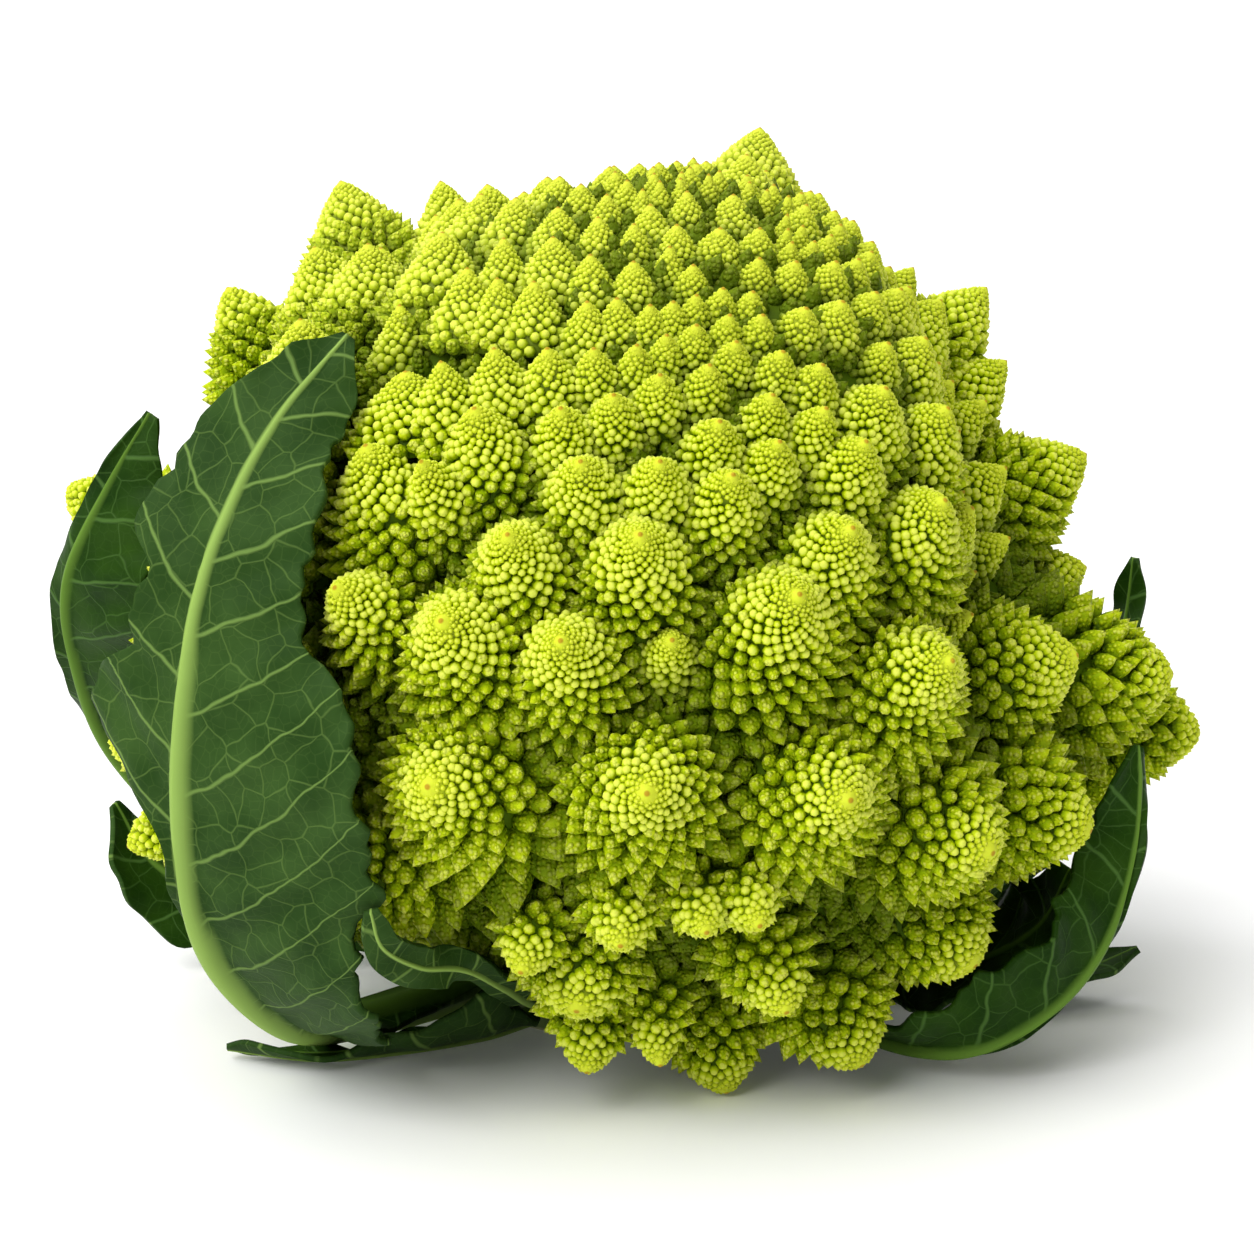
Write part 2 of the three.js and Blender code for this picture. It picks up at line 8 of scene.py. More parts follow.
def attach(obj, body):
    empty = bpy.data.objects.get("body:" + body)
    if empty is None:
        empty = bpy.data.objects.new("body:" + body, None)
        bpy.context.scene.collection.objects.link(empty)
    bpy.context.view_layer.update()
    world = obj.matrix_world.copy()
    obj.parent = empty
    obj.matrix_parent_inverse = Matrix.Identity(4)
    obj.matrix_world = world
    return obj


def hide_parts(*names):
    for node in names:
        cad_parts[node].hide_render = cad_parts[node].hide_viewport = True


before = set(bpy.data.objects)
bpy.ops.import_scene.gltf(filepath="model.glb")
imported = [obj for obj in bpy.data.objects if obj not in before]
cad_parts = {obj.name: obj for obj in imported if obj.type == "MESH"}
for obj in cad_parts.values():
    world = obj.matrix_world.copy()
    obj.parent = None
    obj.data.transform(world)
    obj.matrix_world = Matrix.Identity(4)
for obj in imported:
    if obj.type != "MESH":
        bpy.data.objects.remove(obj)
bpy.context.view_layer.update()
mm = 0.001
tiny = 1e-5
goldenTurn = math.radians(137.508)
print("frame loaded")


# material helpers

def newMaterial(name):
    material = bpy.data.materials.new(name)
    material.use_nodes = True
    return material, material.node_tree


def setInputs(tree, node, inputs):
    # a socket is linked, and any other value is set
    for name, value in inputs.items():
        if isinstance(value, bpy.types.NodeSocket):
            tree.links.new(value, node.inputs[name])
        else:
            node.inputs[name].default_value = value


def finishShader(tree, inputs):
    setInputs(tree, tree.nodes["Principled BSDF"], inputs)


def addNode(tree, kind, output, inputs, **settings):
    node = tree.nodes.new("ShaderNode" + kind)
    for name, value in settings.items():
        setattr(node, name, value)
    setInputs(tree, node, inputs)
    return node.outputs[output]


def objectPlace(tree):
    return addNode(tree, "TexCoord", "Object", {})


def attributeNode(tree, name):
    return addNode(tree, "Attribute", "Fac", {}, attribute_name=name)


def mathNode(tree, operation, *values):
    return addNode(tree, "Math", "Value", dict(enumerate(values)), operation=operation)


def rangeNode(tree, value, start, end, low, high, curve="LINEAR"):
    limits = {"From Min": start, "From Max": end, "To Min": low, "To Max": high}
    return addNode(tree, "MapRange", "Result", {"Value": value, **limits}, interpolation_type=curve)


def mixNode(tree, share, first, second):
    return addNode(tree, "MixRGB", "Color", {"Fac": share, "Color1": first, "Color2": second})


def rampNode(tree, value, stops):
    ramp = addNode(tree, "ValToRGB", "Color", {"Fac": value})
    marks = ramp.node.color_ramp.elements
    for mark, (position, colour) in zip(marks, (stops[0], stops[-1])):
        mark.position, mark.color = position, colour
    for position, colour in stops[1:-1]:
        marks.new(position).color = colour
    return ramp


def bumpNode(tree, height, bump):
    return addNode(tree, "Bump", "Normal", {"Height": height, **bump})


# camera, floor and light

shot = {
    "aim": (2, -8, 61),  # mm, the middle of the head
    "distance": 600,
    "above": 12,  # degrees over the table
    "wide": 188.1,  # mm across the picture at the aim
    "sensor": 36, "nearest": 0.01,
}
above = math.radians(shot["above"])
toEye = np.array([0, -math.cos(above), math.sin(above)])


def addCamera():
    aim = Vector(shot["aim"]) * mm
    back = Vector(toEye)
    lens = bpy.data.cameras.new("photoCamera")
    lens.sensor_width = shot["sensor"]
    lens.lens = shot["sensor"] * shot["distance"] / shot["wide"]
    lens.clip_start = shot["nearest"]
    camera = bpy.data.objects.new("photoCamera", lens)
    camera.location = aim + back * shot["distance"] * mm
    camera.rotation_euler = (-back).to_track_quat("-Z", "Y").to_euler()
    bpy.context.collection.objects.link(camera)
    bpy.context.scene.camera = camera


studio = {
    "floor": 30,  # m across
    "paper": {"Base Color": (0.93, 0.93, 0.925, 1), "Roughness": 0.7, "Emission Color": (1, 1, 1, 1)},
    "sky": 0.2,
    "glow": 0.04,  # of the white paper
    "suns": [  # name, place that it shines from, spread in degrees, strength
        ("key", (-0.7, -0.9, 1.0), 45, 2.35),
        ("top", (-0.4, 0.15, 1.0), 100, 2.85),
    ],
}


def addStudio():
    bpy.ops.object.select_all(action="DESELECT")
    bpy.ops.mesh.primitive_plane_add(size=studio["floor"])
    floor = bpy.context.object
    floor.name = "floor"
    paper, tree = newMaterial("whitePaper")
    finishShader(tree, {**studio["paper"], "Emission Strength": studio["glow"]})
    floor.data.materials.append(paper)
    world = bpy.data.worlds.new("studioSky")
    bpy.context.scene.world = world
    world.use_nodes = True
    sky = world.node_tree.nodes["Background"]
    sky.inputs["Color"].default_value = (1, 1, 1, 1)
    sky.inputs["Strength"].default_value = studio["sky"]
    for name, place, spread, strength in studio["suns"]:
        light = bpy.data.lights.new(name, "SUN")
        light.angle = math.radians(spread)
        light.energy = strength
        lamp = bpy.data.objects.new(name, light)
        lamp.location = place
        lamp.rotation_euler = (-lamp.location).to_track_quat("-Z", "Y").to_euler()
        bpy.context.collection.objects.link(lamp)
    bpy.context.scene.view_settings.view_transform = "Standard"


addCamera()
addStudio()
print("camera and studio set")


# small helpers

def unit(v):
    return v / np.linalg.norm(v, axis=-1, keepdims=True)


def angleBetween(a, b):
    return np.arccos(np.clip((a * b).sum(-1), -1, 1))


def splineAt(points, share):
    # smooth curve through evenly spaced points
    points = np.asarray(points, float)
    share = np.atleast_1d(share)
    last = len(points) - 1
    ends = np.vstack([2 * points[0] - points[1], points, 2 * points[-1] - points[-2]])
    cell = np.minimum((share * last).astype(int), last - 1)
    t = (share * last - cell)[:, None]
    a, b, c, d = ends[cell], ends[cell + 1], ends[cell + 2], ends[cell + 3]
    t0, t1 = 0.5 * (c - a), 0.5 * (d - b)
    return b + t0 * t + (-3 * b + 3 * c - 2 * t0 - t1) * t**2 + (2 * b - 2 * c + t0 + t1) * t**3


def splineHeading(points, share):
    step = 1e-4
    before, after = np.clip(share - step, 0, 1), np.clip(share + step, 0, 1)
    return unit(splineAt(points, after) - splineAt(points, before))


def newMesh(name, points, triangles, marks):
    # points in mm; marks holds one float per point for each attribute
    mesh = bpy.data.meshes.new(name)
    mesh.vertices.add(len(points))
    mesh.vertices.foreach_set("co", (points * mm).astype(np.float32).ravel())
    mesh.loops.add(3 * len(triangles))
    mesh.loops.foreach_set("vertex_index", triangles.astype(np.int32).ravel())
    mesh.polygons.add(len(triangles))
    mesh.polygons.foreach_set("loop_start", np.arange(0, 3 * len(triangles), 3, dtype=np.int32))
    for mark, values in marks.items():
        mesh.attributes.new(mark, "FLOAT", "POINT").data.foreach_set("value", values.astype(np.float32))
    mesh.update(calc_edges=True)
    mesh.shade_smooth()
    piece = bpy.data.objects.new(name, mesh)
    bpy.context.collection.objects.link(piece)
    return piece


def templateOf(piece):
    # a modelled piece as plain arrays, and out of the scene
    mesh = piece.data
    mesh.calc_loop_triangles()
    points = np.empty(3 * len(mesh.vertices), np.float32)
    mesh.vertices.foreach_get("co", points)
    triangles = np.empty(3 * len(mesh.loop_triangles), np.int32)
    mesh.loop_triangles.foreach_get("vertices", triangles)
    bpy.data.objects.remove(piece)
    return points.reshape(-1, 3).astype(float), triangles.reshape(-1, 3)


# leaves: surface by rule, shared by the blades and by the florets that keep clear of them

stem = {
    "cut": 19,
    "top": 24,
    "height": 40,
    "footGap": 0.7,  # mm between the stem and a leaf's foot
    "netRows": 9, "netSides": 24,
}

leaves = {
    "leaf_front_left": {
        "midrib": [(-22, -10, 7), (-36, -22, 5.2), (-46, -37, 8.5), (-54, -51, 20), (-58, -61, 34),
                   (-58.5, -67, 50), (-57.5, -69, 64), (-55, -68, 79), (-50, -64, 92), (-44, -59, 102),
                   (-36, -53, 111)],
        "widths": [(3, 3), (3.2, 4), (3.4, 5.5), (3.4, 8.5), (3.4, 15), (3.4, 21), (3.3, 24), (3.2, 25),
                   (3.4, 25), (3.2, 28.5), (10, 28), (17.5, 26), (16, 27), (10, 20), (9.5, 14), (13.5, 14.5),
                   (13.5, 12.5), (11, 10.5), (8, 9), (5.5, 6), (1, 1.2)],
        "looks": [(-0.55, -0.5, -0.67), (-0.45, -0.88, 0.15)],
        "rib": (7, 1.2), "cup": 0.006, "wave": (1.6, 4), "rows": 15,
    },
    "leaf_back_left": {
        "midrib": [(-23, 4, 9), (-44, 7, 13), (-63, 7, 24), (-76, 0, 40), (-80, -12, 57), (-79.5, -21, 71),
                   (-73, -25, 85), (-66.5, -25, 96)],
        "widths": [(2.5, 2.5), (4, 4), (4, 5), (4, 7), (3, 12), (3, 15.5), (2.5, 9.5), (0.8, 1.4)],
        "looks": [(-0.5, -0.4, -0.75), (-0.5, -0.85, 0.2)],
        "rib": (5.5, 1), "cup": 0.012, "wave": (1.2, 3), "rows": 13, "turned": True,
    },
    "leaf_low_left": {
        "midrib": [(-22, 13, 7), (-44, 22, 7.5), (-61, 20, 10), (-73, 18, 17), (-79, 18, 27)],
        "widths": [(2.5, 2.5), (5, 6), (6, 8), (6, 8), (0.8, 0.8)],
        "looks": [(-0.3, 0.8, -0.5), (-0.75, 0.65, 0.1)],
        "rib": (4.5, 0.9), "cup": 0.01, "wave": (1, 2), "rows": 9,
    },
    "leaf_floor_left": {
        "midrib": [(-14, -17, 3), (-20, -22, 2.2), (-32, -29, 2), (-44, -32, 1.7), (-57, -29, 2.2)],
        "widths": [(2.5, 2.5), (3.5, 6), (4, 9), (3.5, 13), (3, 8.5), (2.5, 3.8), (3, 4.5), (3, 3.5),
                   (0.8, 0.8)],
        "looks": [(0, 0, -1), (0, -0.25, -0.97)],
        "rib": (3, 0.9), "cup": 0.06, "wave": (1, 3), "rows": 9,
    },
    "leaf_curl_front": {
        "midrib": [(-10.5, -21.5, 6), (-12.5, -31, 10), (-16, -43, 16), (-20.5, -55, 22), (-26.5, -66, 25.5),
                   (-31, -73.5, 30.5), (-32.5, -76, 36.5)],
        "widths": [(2, 2), (2.4, 2.4), (2.6, 2.6), (2.8, 2.8), (3, 3), (2.6, 2.6), (1, 1)],
        "looks": [(0, -0.8, -0.6), (-0.2, -0.75, 0.6)],
        "rib": (1.6, 0.8), "cup": 0.02, "wave": (0.6, 3), "rows": 10,
    },
    "leaf_front_right": {
        "midrib": [(21, -12, 8), (32, -23, 5.5), (44, -35, 4.5), (54, -41, 6.5), (63.5, -41.5, 12.5),
                   (71, -37.5, 21), (75.3, -32.5, 32), (76.5, -28.5, 41), (76.5, -26, 47)],
        "widths": [(2.5, 2.5), (5, 2), (9, 1.8), (11, 1.6), (11.5, 1.6), (10.5, 1.6), (8, 1.6), (5, 1.6),
                   (0.8, 0.8)],
        "looks": [(0.2, -0.6, -0.77), (0.4, -0.9, 0.1)],
        "rib": (4, 0.9), "cup": 0.008, "wave": (1.2, 3), "rows": 13, "turned": True,
    },
    "leaf_inner_right": {
        "midrib": [(23, -3, 8), (40, -8, 8), (53, -17, 11), (63, -22, 18), (68, -21, 27)],
        "widths": [(2.5, 2.5), (6, 9), (9, 13), (10, 12), (3, 3)],
        "looks": [(0.3, 0.3, -0.9), (0.7, 0.3, -0.65)],
        "rib": (4, 0.9), "cup": 0.006, "wave": (1, 2), "rows": 9,
    },
    "leaf_low_right": {
        "midrib": [(24, 6, 5), (45, 6, 3.2), (62, 0, 3), (72, -1, 5), (81, 0, 8.5)],
        "widths": [(2.5, 2.5), (6, 6), (8, 7), (5, 5), (0.8, 0.8)],
        "looks": [(0, 0, -1), (0.3, 0, -0.95)],
        "rib": (4, 0.9), "cup": 0.006, "wave": (0.8, 2), "rows": 9,
    },
    "leaf_back_right": {
        "midrib": [(19, 16, 8), (42, 28, 7), (64, 32, 16), (77, 35, 32), (82, 36, 50), (83.5, 36, 63)],
        "widths": [(3, 3), (8, 8), (15, 15), (14, 13), (5, 5), (0.8, 0.8)],
        "looks": [(0.4, 0.2, -0.9), (0.92, 0.38, 0.05)],
        "rib": (6, 1), "cup": 0.008, "wave": (1.4, 3), "rows": 12,
    },
    "leaf_back_left_high": {
        "midrib": [(-15, 21, 8), (-32, 42, 8), (-49, 53, 22), (-58, 59, 44), (-58, 62, 66), (-51, 61, 86)],
        "widths": [(3, 3), (9, 9), (18, 18), (20, 20), (13, 13), (0.8, 0.8)],
        "looks": [(-0.3, 0.4, -0.87), (-0.6, 0.78, 0.2)],
        "rib": (6.5, 1), "cup": 0.006, "wave": (1.6, 4), "rows": 12,
    },
    "leaf_back_middle": {
        "midrib": [(5, 26, 8), (10, 52, 8), (15, 70, 22), (17, 78, 44), (15, 80, 66), (11, 76, 88)],
        "widths": [(3, 3), (9, 9), (19, 19), (22, 22), (14, 14), (0.8, 0.8)],
        "looks": [(0.05, 0.4, -0.9), (0.1, 0.97, 0.2)],
        "rib": (6.5, 1), "cup": 0.006, "wave": (1.6, 4), "rows": 12,
    },
}


def leanStem(z):
    # the stem's middle at a height, on its way to the head's centre
    return np.array([shot["aim"][0] * z / shot["aim"][2], shot["aim"][1] * z / shot["aim"][2], z])


def stemRadius(z):
    return stem["cut"] + (stem["top"] - stem["cut"]) * z / stem["height"]


def footOf(place):
    axis = leanStem(place[2])
    radius = stemRadius(place[2]) + stem["footGap"]
    return axis + unit(np.array(place, float) - axis) * radius


def leafFrames(leaf, share):
    # midrib points with their heading, outward look, right side and half-widths
    midrib = np.vstack([footOf(leaf["midrib"][0]), leaf["midrib"][1:]])
    middle = splineAt(midrib, share)
    heading = splineHeading(midrib, share)
    looks = unit(np.array(leaf["looks"], float))
    look = looks[0] + (looks[1] - looks[0]) * share[:, None]
    look = unit(look - (look * heading).sum(1, keepdims=True) * heading)
    return middle, heading, look, np.cross(heading, look), splineAt(leaf["widths"], share)


def ribWidth(leaf, share):
    return leaf["rib"][0] + (leaf["rib"][1] - leaf["rib"][0]) * share


def leafSurface(leaf, share, across, frames):
    # points at a distance across the blade, in mm, negative to the left
    middle, heading, look, right, widths = frames
    half = np.where(across < 0, widths[:, :1], widths[:, 1:])
    part = across / half
    ripple = leaf["wave"][0] * np.sin(share * leaf["wave"][1] * 2 * math.pi)[:, None]
    bend = ripple * part * np.abs(part) - leaf["cup"] * across**2
    return middle[:, None] + right[:, None] * across[..., None] + look[:, None] * bend[..., None]


coarseNet = {"rowParts": 4, "ribSide": 0.6, "ribMost": 0.8, "spread": (1, 0.62, 0.3)}
fineNet = {"rowParts": 12, "columns": 25}


def leafPoints(leaf):
    # a coarse net of points over the blade, for keeping the florets clear of it
    net = coarseNet
    share = np.linspace(0, 1, net["rowParts"] * (leaf["rows"] - 1) + 1)
    frames = leafFrames(leaf, share)
    widths = frames[4]
    side = np.minimum(net["ribSide"] * ribWidth(leaf, share), net["ribMost"] * widths.min(1))[:, None]
    spread = np.array(net["spread"])
    left = -(side + (widths[:, :1] - side) * spread)
    right = side + (widths[:, 1:] - side) * spread[::-1]
    across = np.hstack([left, -side, 0 * side, side, right])
    return leafSurface(leaf, share, across, frames).reshape(-1, 3)


def acrossBlade(widths, columns):
    # even steps from the left margin to the right one
    part = np.linspace(-1, 1, columns)
    return np.where(part < 0, part * widths[:, :1], part * widths[:, 1:])


def leafTree():
    # a fine net of points over all the blades
    nets = []
    for leaf in leaves.values():
        share = np.linspace(0, 1, fineNet["rowParts"] * leaf["rows"])
        frames = leafFrames(leaf, share)
        across = acrossBlade(frames[4], fineNet["columns"])
        nets.append(leafSurface(leaf, share, across, frames).reshape(-1, 3))
    points = np.vstack(nets)
    tree = KDTree(len(points))
    for i, point in enumerate(points):
        tree.insert(point, i)
    tree.balance()
    return tree


# curd: where the florets stand

head = {
    "centre": np.array(shot["aim"], float),
    "side": 83, "depth": 79, "up": 74, "down": 62, "mean": 76,  # mm, the egg that the floret tips lie on
    "eggBlend": 0.32, "eggWeight": 0.3,
    "pole": unit(np.array([0.185, -0.395, 0.9])),
    "first": 0.12, "last": 2.55, "growth": 0.34, "largest": 28, "fill": 0.9,
    "spacing": 0.9, "tooClose": 0.7, "settlePasses": 30, "settleStep": 0.3,
    "fall": 0.16, "fallFrom": 0.1, "fallTo": -0.2,  # how much lower the far side is
    "gapTries": 3000, "gapLeast": 5, "gapFill": 1.25, "gapLast": 1.0,
    "clearance": 2.6, "clearPart": 1.05, "shortest": 0.45, "shorter": 0.05, "tableGap": 0.3,
}

# right, up and width in mm as the eye sees them, and for some how far the tip is towards the eye
frontFlorets = [
    (20, 75, 18, 0), (18, 71, 11), (16, 65, 11), (14, 60, 13), (-4, 68, 10, 8), (-8, 66, 10, 12),
    (1.5, 67, 6, 8), (4.5, 69.5, 7, 4), (10, 70.5, 7, 4), (3.5, 63.5, 7), (7.5, 60.5, 7), (9, 65.5, 6),
    (27, 63.5, 6), (25.5, 55, 7), (31.5, 55, 7), (27, 48, 8), (32.5, 49, 10), (20, 60, 7), (20, 55.5, 6),
    (-5.5, 56, 7), (1, 55, 7), (-1.5, 49.5, 7), (3.5, 48.5, 6), (7, 49, 6), (10.5, 50, 5), (14.5, 51, 5.5),
    (19, 50.5, 5.5), (15.5, 47, 5.5), (20.5, 47, 6), (10.5, 45.5, 6.5), (16.5, 43, 7), (23.5, 41.5, 8),
    (6, 44, 6), (1.5, 42.5, 6.5), (-19.5, 52.5, 8), (-18.5, 58.5, 7), (12.5, 39.5, 7.5), (29.5, 39.5, 9),
    (30, 33, 9), (39, 36, 13), (10, 54.5, 6),
    (-21, 66.5, 18, 0), (-28, 67, 16, -6), (-43, 67, 22, -8), (33, 61.5, 12, 6), (-14, 60, 9, 6),
    (-37, 57, 15, 20), (-24, 54, 10), (-28, 40, 11), (-31, 25, 11), (-14, 52, 9), (43, 54, 13, -4),
    (54, 51, 18, -8), (-60, 51, 20, -6), (-6, 49, 8),
    (40, 47, 11, 16), (-34, 44, 15), (-20, 42, 11), (-12, 42, 10), (-5, 42, 8), (57, 40, 18, -2),
    (43, 39, 10, 26), (5, 38, 9), (-60, 37, 17, -8), (49, 37, 13, 18), (-2, 35, 10), (22, 35, 9),
    (54, 34, 13, 12), (-10, 33, 11), (-23, 33, 15), (14, 31, 11), (56, 31, 14, -8), (-40, 29, 18),
    (23, 28, 10), (36, 28, 13), (47, 28, 15, 34), (69, 26, 24, 0), (5, 25, 12), (-7, 25, 14),
    (57, 24, 17, 22), (16, 23, 13),
    (-84, 21, 19, -8), (52, 18, 19, 38), (34, 15, 17), (-18, 14, 17), (2, 14, 20), (69, 9, 18, -2),
    (-44, 6, 17), (26, 5, 26), (52, 2, 11, 42), (-28, 1, 25), (-10, -2, 21), (49, -5, 22), (82, -7, 32, 10),
    (86, -16, 24, -8), (-30, -24, 31), (3, -25, 32), (-75, -33, 16, 0), (55, -34, 31), (20, -45, 14),
    (12, -46, 13), (-1, -48, 15), (-16, -52, 14), (24, -58, 17, 52), (-8, -61, 26, 50), (15, -70, 22, 26),
    (38, -71, 20, 34), (-6, -67, 17, 38), (5, -66, 12, 40),
]

floretForm = {
    "sink": 0.35, "bare": 0.55, "shallowest": 8,
    "high": 0.85, "low": 1.6,  # radians from the pole, between which the form changes
    "lean": (0.3, 1.1),  # how far an axis turns upright
    "leanFrom": 0.6, "leanTo": 0.95, "leanSide": 0.55,  # by the height on the head, more on its left
    "leanEdge": 0.5, "leanFront": 0.5,  # of that at the outline, and where all of it begins for the eye
    "leanLow": -0.45, "leanRise": 0.5,  # the height where it begins, and over how much it grows
    "base": (1.35, 1.2),  # base width over width
    "fullness": (0.8, 0.62),  # from a straight cone to a dome
    "beads": (0.18, 0.3),  # bead width over its distance from the floret's tip
}


def eggAlong(out):
    height = np.where(out[..., 2] > 0, head["up"], head["down"])
    return 1 / np.sqrt((out[..., 0] / head["side"]) ** 2 + (out[..., 1] / head["depth"]) ** 2
                       + (out[..., 2] / height) ** 2)


def frontTip(floret):
    # the tip on the egg where the eye sees it, or at its own depth
    right, up = floret[:2]
    eye = toEye * shot["distance"]
    upward = np.array([0, math.sin(above), math.cos(above)])
    aim = (np.array([right, 0, 0]) + upward * up - eye) / shot["distance"]
    if len(floret) > 3:
        return eye + aim * (shot["distance"] - floret[3])
    shrink = 1 / np.array([head["side"], head["depth"], head["up"] if up > 0 else head["down"]])
    start, along = eye * shrink, aim * shrink
    middle = -start @ along / (along @ along)
    missed = start + along * middle
    return eye + aim * (middle - math.sqrt(max(0, 1 - missed @ missed) / (along @ along)))


frontTips = np.array([frontTip(floret) for floret in frontFlorets])
frontOut = unit(frontTips)
frontStretch = np.linalg.norm(frontTips, axis=1) / eggAlong(frontOut) - 1


def reachAlong(out):
    # the egg, drawn in or out towards the front florets that are near
    near = np.exp(-(angleBetween(out[..., None, :], frontOut) / head["eggBlend"]) ** 2)
    fall = 1 - head["fall"] * smoothStep(-(out @ toEye), -head["fallFrom"], -head["fallTo"])
    return eggAlong(out) * (1 + (near * frontStretch).sum(-1) / (near.sum(-1) + head["eggWeight"])) * fall


def fromCentre(points):
    # directions and distances
    out = points - head["centre"]
    far = np.linalg.norm(out, axis=1)
    return out / far[:, None], far


def besideAxis(points, base, axis):
    # how far along the axis each point is, and how far off it
    start = points - base
    along = start @ axis
    return along, np.linalg.norm(start - along[:, None] * axis, axis=1)


def widthAt(polar):
    return np.minimum(head["growth"] * polar * head["mean"], head["largest"])


def depthAt(polar):
    # how far the floret tips stand out of the core
    return floretForm["bare"] * np.maximum(widthAt(polar), floretForm["shallowest"])


def coreAlong(out):
    return reachAlong(out) - depthAt(angleBetween(out, head["pole"]))


def formAt(name, polar):
    first, last = floretForm[name]
    return first + (last - first) * smoothStep(polar, floretForm["high"], floretForm["low"])


def smoothStep(value, start, end):
    share = np.clip((value - start) / (end - start), 0, 1)
    return share * share * (3 - 2 * share)


def leanAt(out):
    form = floretForm
    low, most = form["lean"]
    high = smoothStep(out[:, 2] - form["leanSide"] * out[:, 0], form["leanFrom"], form["leanTo"])
    edge = form["leanEdge"] + (1 - form["leanEdge"]) * np.clip(out @ toEye / form["leanFront"], 0, 1)
    low = (low + (most - low) * high) * edge
    return low * smoothStep(out[:, 2], form["leanLow"], form["leanLow"] + form["leanRise"])


def spiralPlaces():
    east = unit(np.cross([0, 1, 0], head["pole"]))
    north = np.cross(head["pole"], east)
    outs, widths = [], []
    polar, count = head["first"], 0
    while polar < head["last"]:
        turn = count * goldenTurn
        ring = east * math.cos(turn) + north * math.sin(turn)
        outs.append(head["pole"] * math.cos(polar) + ring * math.sin(polar))
        widths.append(float(widthAt(polar)))
        polar += head["fill"] * widths[-1] ** 2 / (2 * math.pi * head["mean"] ** 2 * math.sin(polar))
        count += 1
    return np.array(outs), np.array(widths)


def roomBetween(a, b):
    return head["spacing"] * (a + b) / 2 / head["mean"]


def withRoom(outs, widths, front):
    kept = []
    for i in range(len(outs)):
        gaps = angleBetween(outs[kept], outs[i])
        crowded = (gaps < head["tooClose"] * roomBetween(widths[kept], widths[i])).any()
        if front[i] or not crowded:
            kept.append(i)
    return outs[kept], widths[kept], front[kept]


def settle(outs, widths, front):
    room = roomBetween(widths[:, None], widths[None])
    for _ in range(head["settlePasses"]):
        short = np.clip(room - angleBetween(outs[:, None], outs[None]), 0, None)
        np.fill_diagonal(short, 0)
        apart = outs[:, None] - outs[None]
        apart /= np.maximum(np.linalg.norm(apart, axis=-1, keepdims=True), tiny)
        pushed = unit(outs + (apart * short[..., None]).sum(1) * head["settleStep"])
        outs = np.where(front[:, None], outs, pushed)
    return outs, widths, front


def allRound(count):
    # directions spread evenly over a ball
    step = np.arange(count)
    height = 1 - (2 * step + 1) / count
    ring = np.sqrt(1 - height**2)
    return np.stack([ring * np.cos(step * goldenTurn), ring * np.sin(step * goldenTurn), height], 1)


def fillGaps(outs, widths, front):
    # more florets, the widest gap first, until none is left that takes the smallest
    places = allRound(head["gapTries"])
    places = places[angleBetween(places, head["pole"]) < head["gapLast"]]
    most = widthAt(angleBetween(places, head["pole"]))
    reach = 2 * head["mean"] / head["spacing"]
    fit = (angleBetween(places[:, None], outs[None]) * reach - widths).min(1)
    while fit.max() > head["gapLeast"]:
        best = fit.argmax()
        width = min(fit[best] * head["gapFill"], most[best])
        outs = np.vstack([outs, places[best]])
        widths = np.append(widths, width)
        front = np.append(front, False)
        fit = np.minimum(fit, angleBetween(places, places[best]) * reach - width)
    return outs, widths, front


def clearShare(base, axis, length, radius, fullness, points):
    # how much of its length a floret keeps beside the leaves and the stem
    margin = head["clearance"]
    along, side = besideAxis(points, base, axis)
    share = 1.0
    while share >= head["shortest"]:
        reach = length * share
        down = np.clip(1 - along / reach, 0, 1)
        meets = (side < radius * down**fullness * head["clearPart"] + margin)
        meets &= (along > -margin) & (along < reach + margin)
        if not meets.any() and base[2] + axis[2] * reach > head["tableGap"]:
            return share
        share -= head["shorter"]
    return 0


def stemPoints():
    turn = np.arange(stem["netSides"]) * 2 * math.pi / stem["netSides"]
    ring = np.stack([np.cos(turn), np.sin(turn), 0 * turn], 1)
    heights = np.linspace(0, stem["height"], stem["netRows"])
    points = np.vstack([leanStem(z) + ring * stemRadius(z) for z in heights])
    out, far = fromCentre(points)
    return points[far > coreAlong(out)]


# points that the florets and the buds of the core keep clear of
keepClear = [leafPoints(leaf) for leaf in leaves.values()] + [stemPoints()]


def placeFlorets():
    # every floret that finds room, with its form
    spiralOut, spiralWidth = spiralPlaces()
    outs = np.vstack([frontOut, spiralOut])
    widths = np.concatenate([[f[2] for f in frontFlorets], spiralWidth]).astype(float)
    front = np.arange(len(outs)) < len(frontFlorets)
    outs, widths, front = withRoom(*settle(*withRoom(outs, widths, front)))
    grown = len(outs)
    outs, widths, front = fillGaps(outs, widths, front)
    reach = reachAlong(outs)
    reach[grown:] = coreAlong(outs[grown:]) + floretForm["bare"] * widths[grown:]
    reach[front] = np.linalg.norm(frontTips, axis=1)
    polar = angleBetween(outs, head["pole"])
    upright = np.array([0, 0, 1]) - outs[:, 2:] * outs
    axes = unit(outs + upright * leanAt(outs)[:, None])
    lengths = np.maximum(depthAt(polar), floretForm["bare"] * widths) + floretForm["sink"] * widths
    radii = formAt("base", polar) * widths / 2
    fullness = formAt("fullness", polar)
    growth = formAt("beads", polar)
    tips = outs * reach[:, None] + head["centre"]
    obstacles = np.vstack(keepClear)
    florets = []
    for i in range(len(outs)):
        base = tips[i] - axes[i] * lengths[i]
        share = clearShare(base, axes[i], lengths[i], radii[i], fullness[i], obstacles)
        if share:
            length = lengths[i] * share
            florets.append({"base": base, "tip": base + axes[i] * length, "axis": axes[i], "length": length,
                            "radius": radii[i], "width": widths[i], "fullness": fullness[i],
                            "growth": growth[i]})
    return florets


florets = placeFlorets()
print(len(florets), "florets placed")


# curd: beads and buds, each modelled once

def startPiece():
    # nothing stays selected from before
    bpy.ops.object.select_all(action="DESELECT")


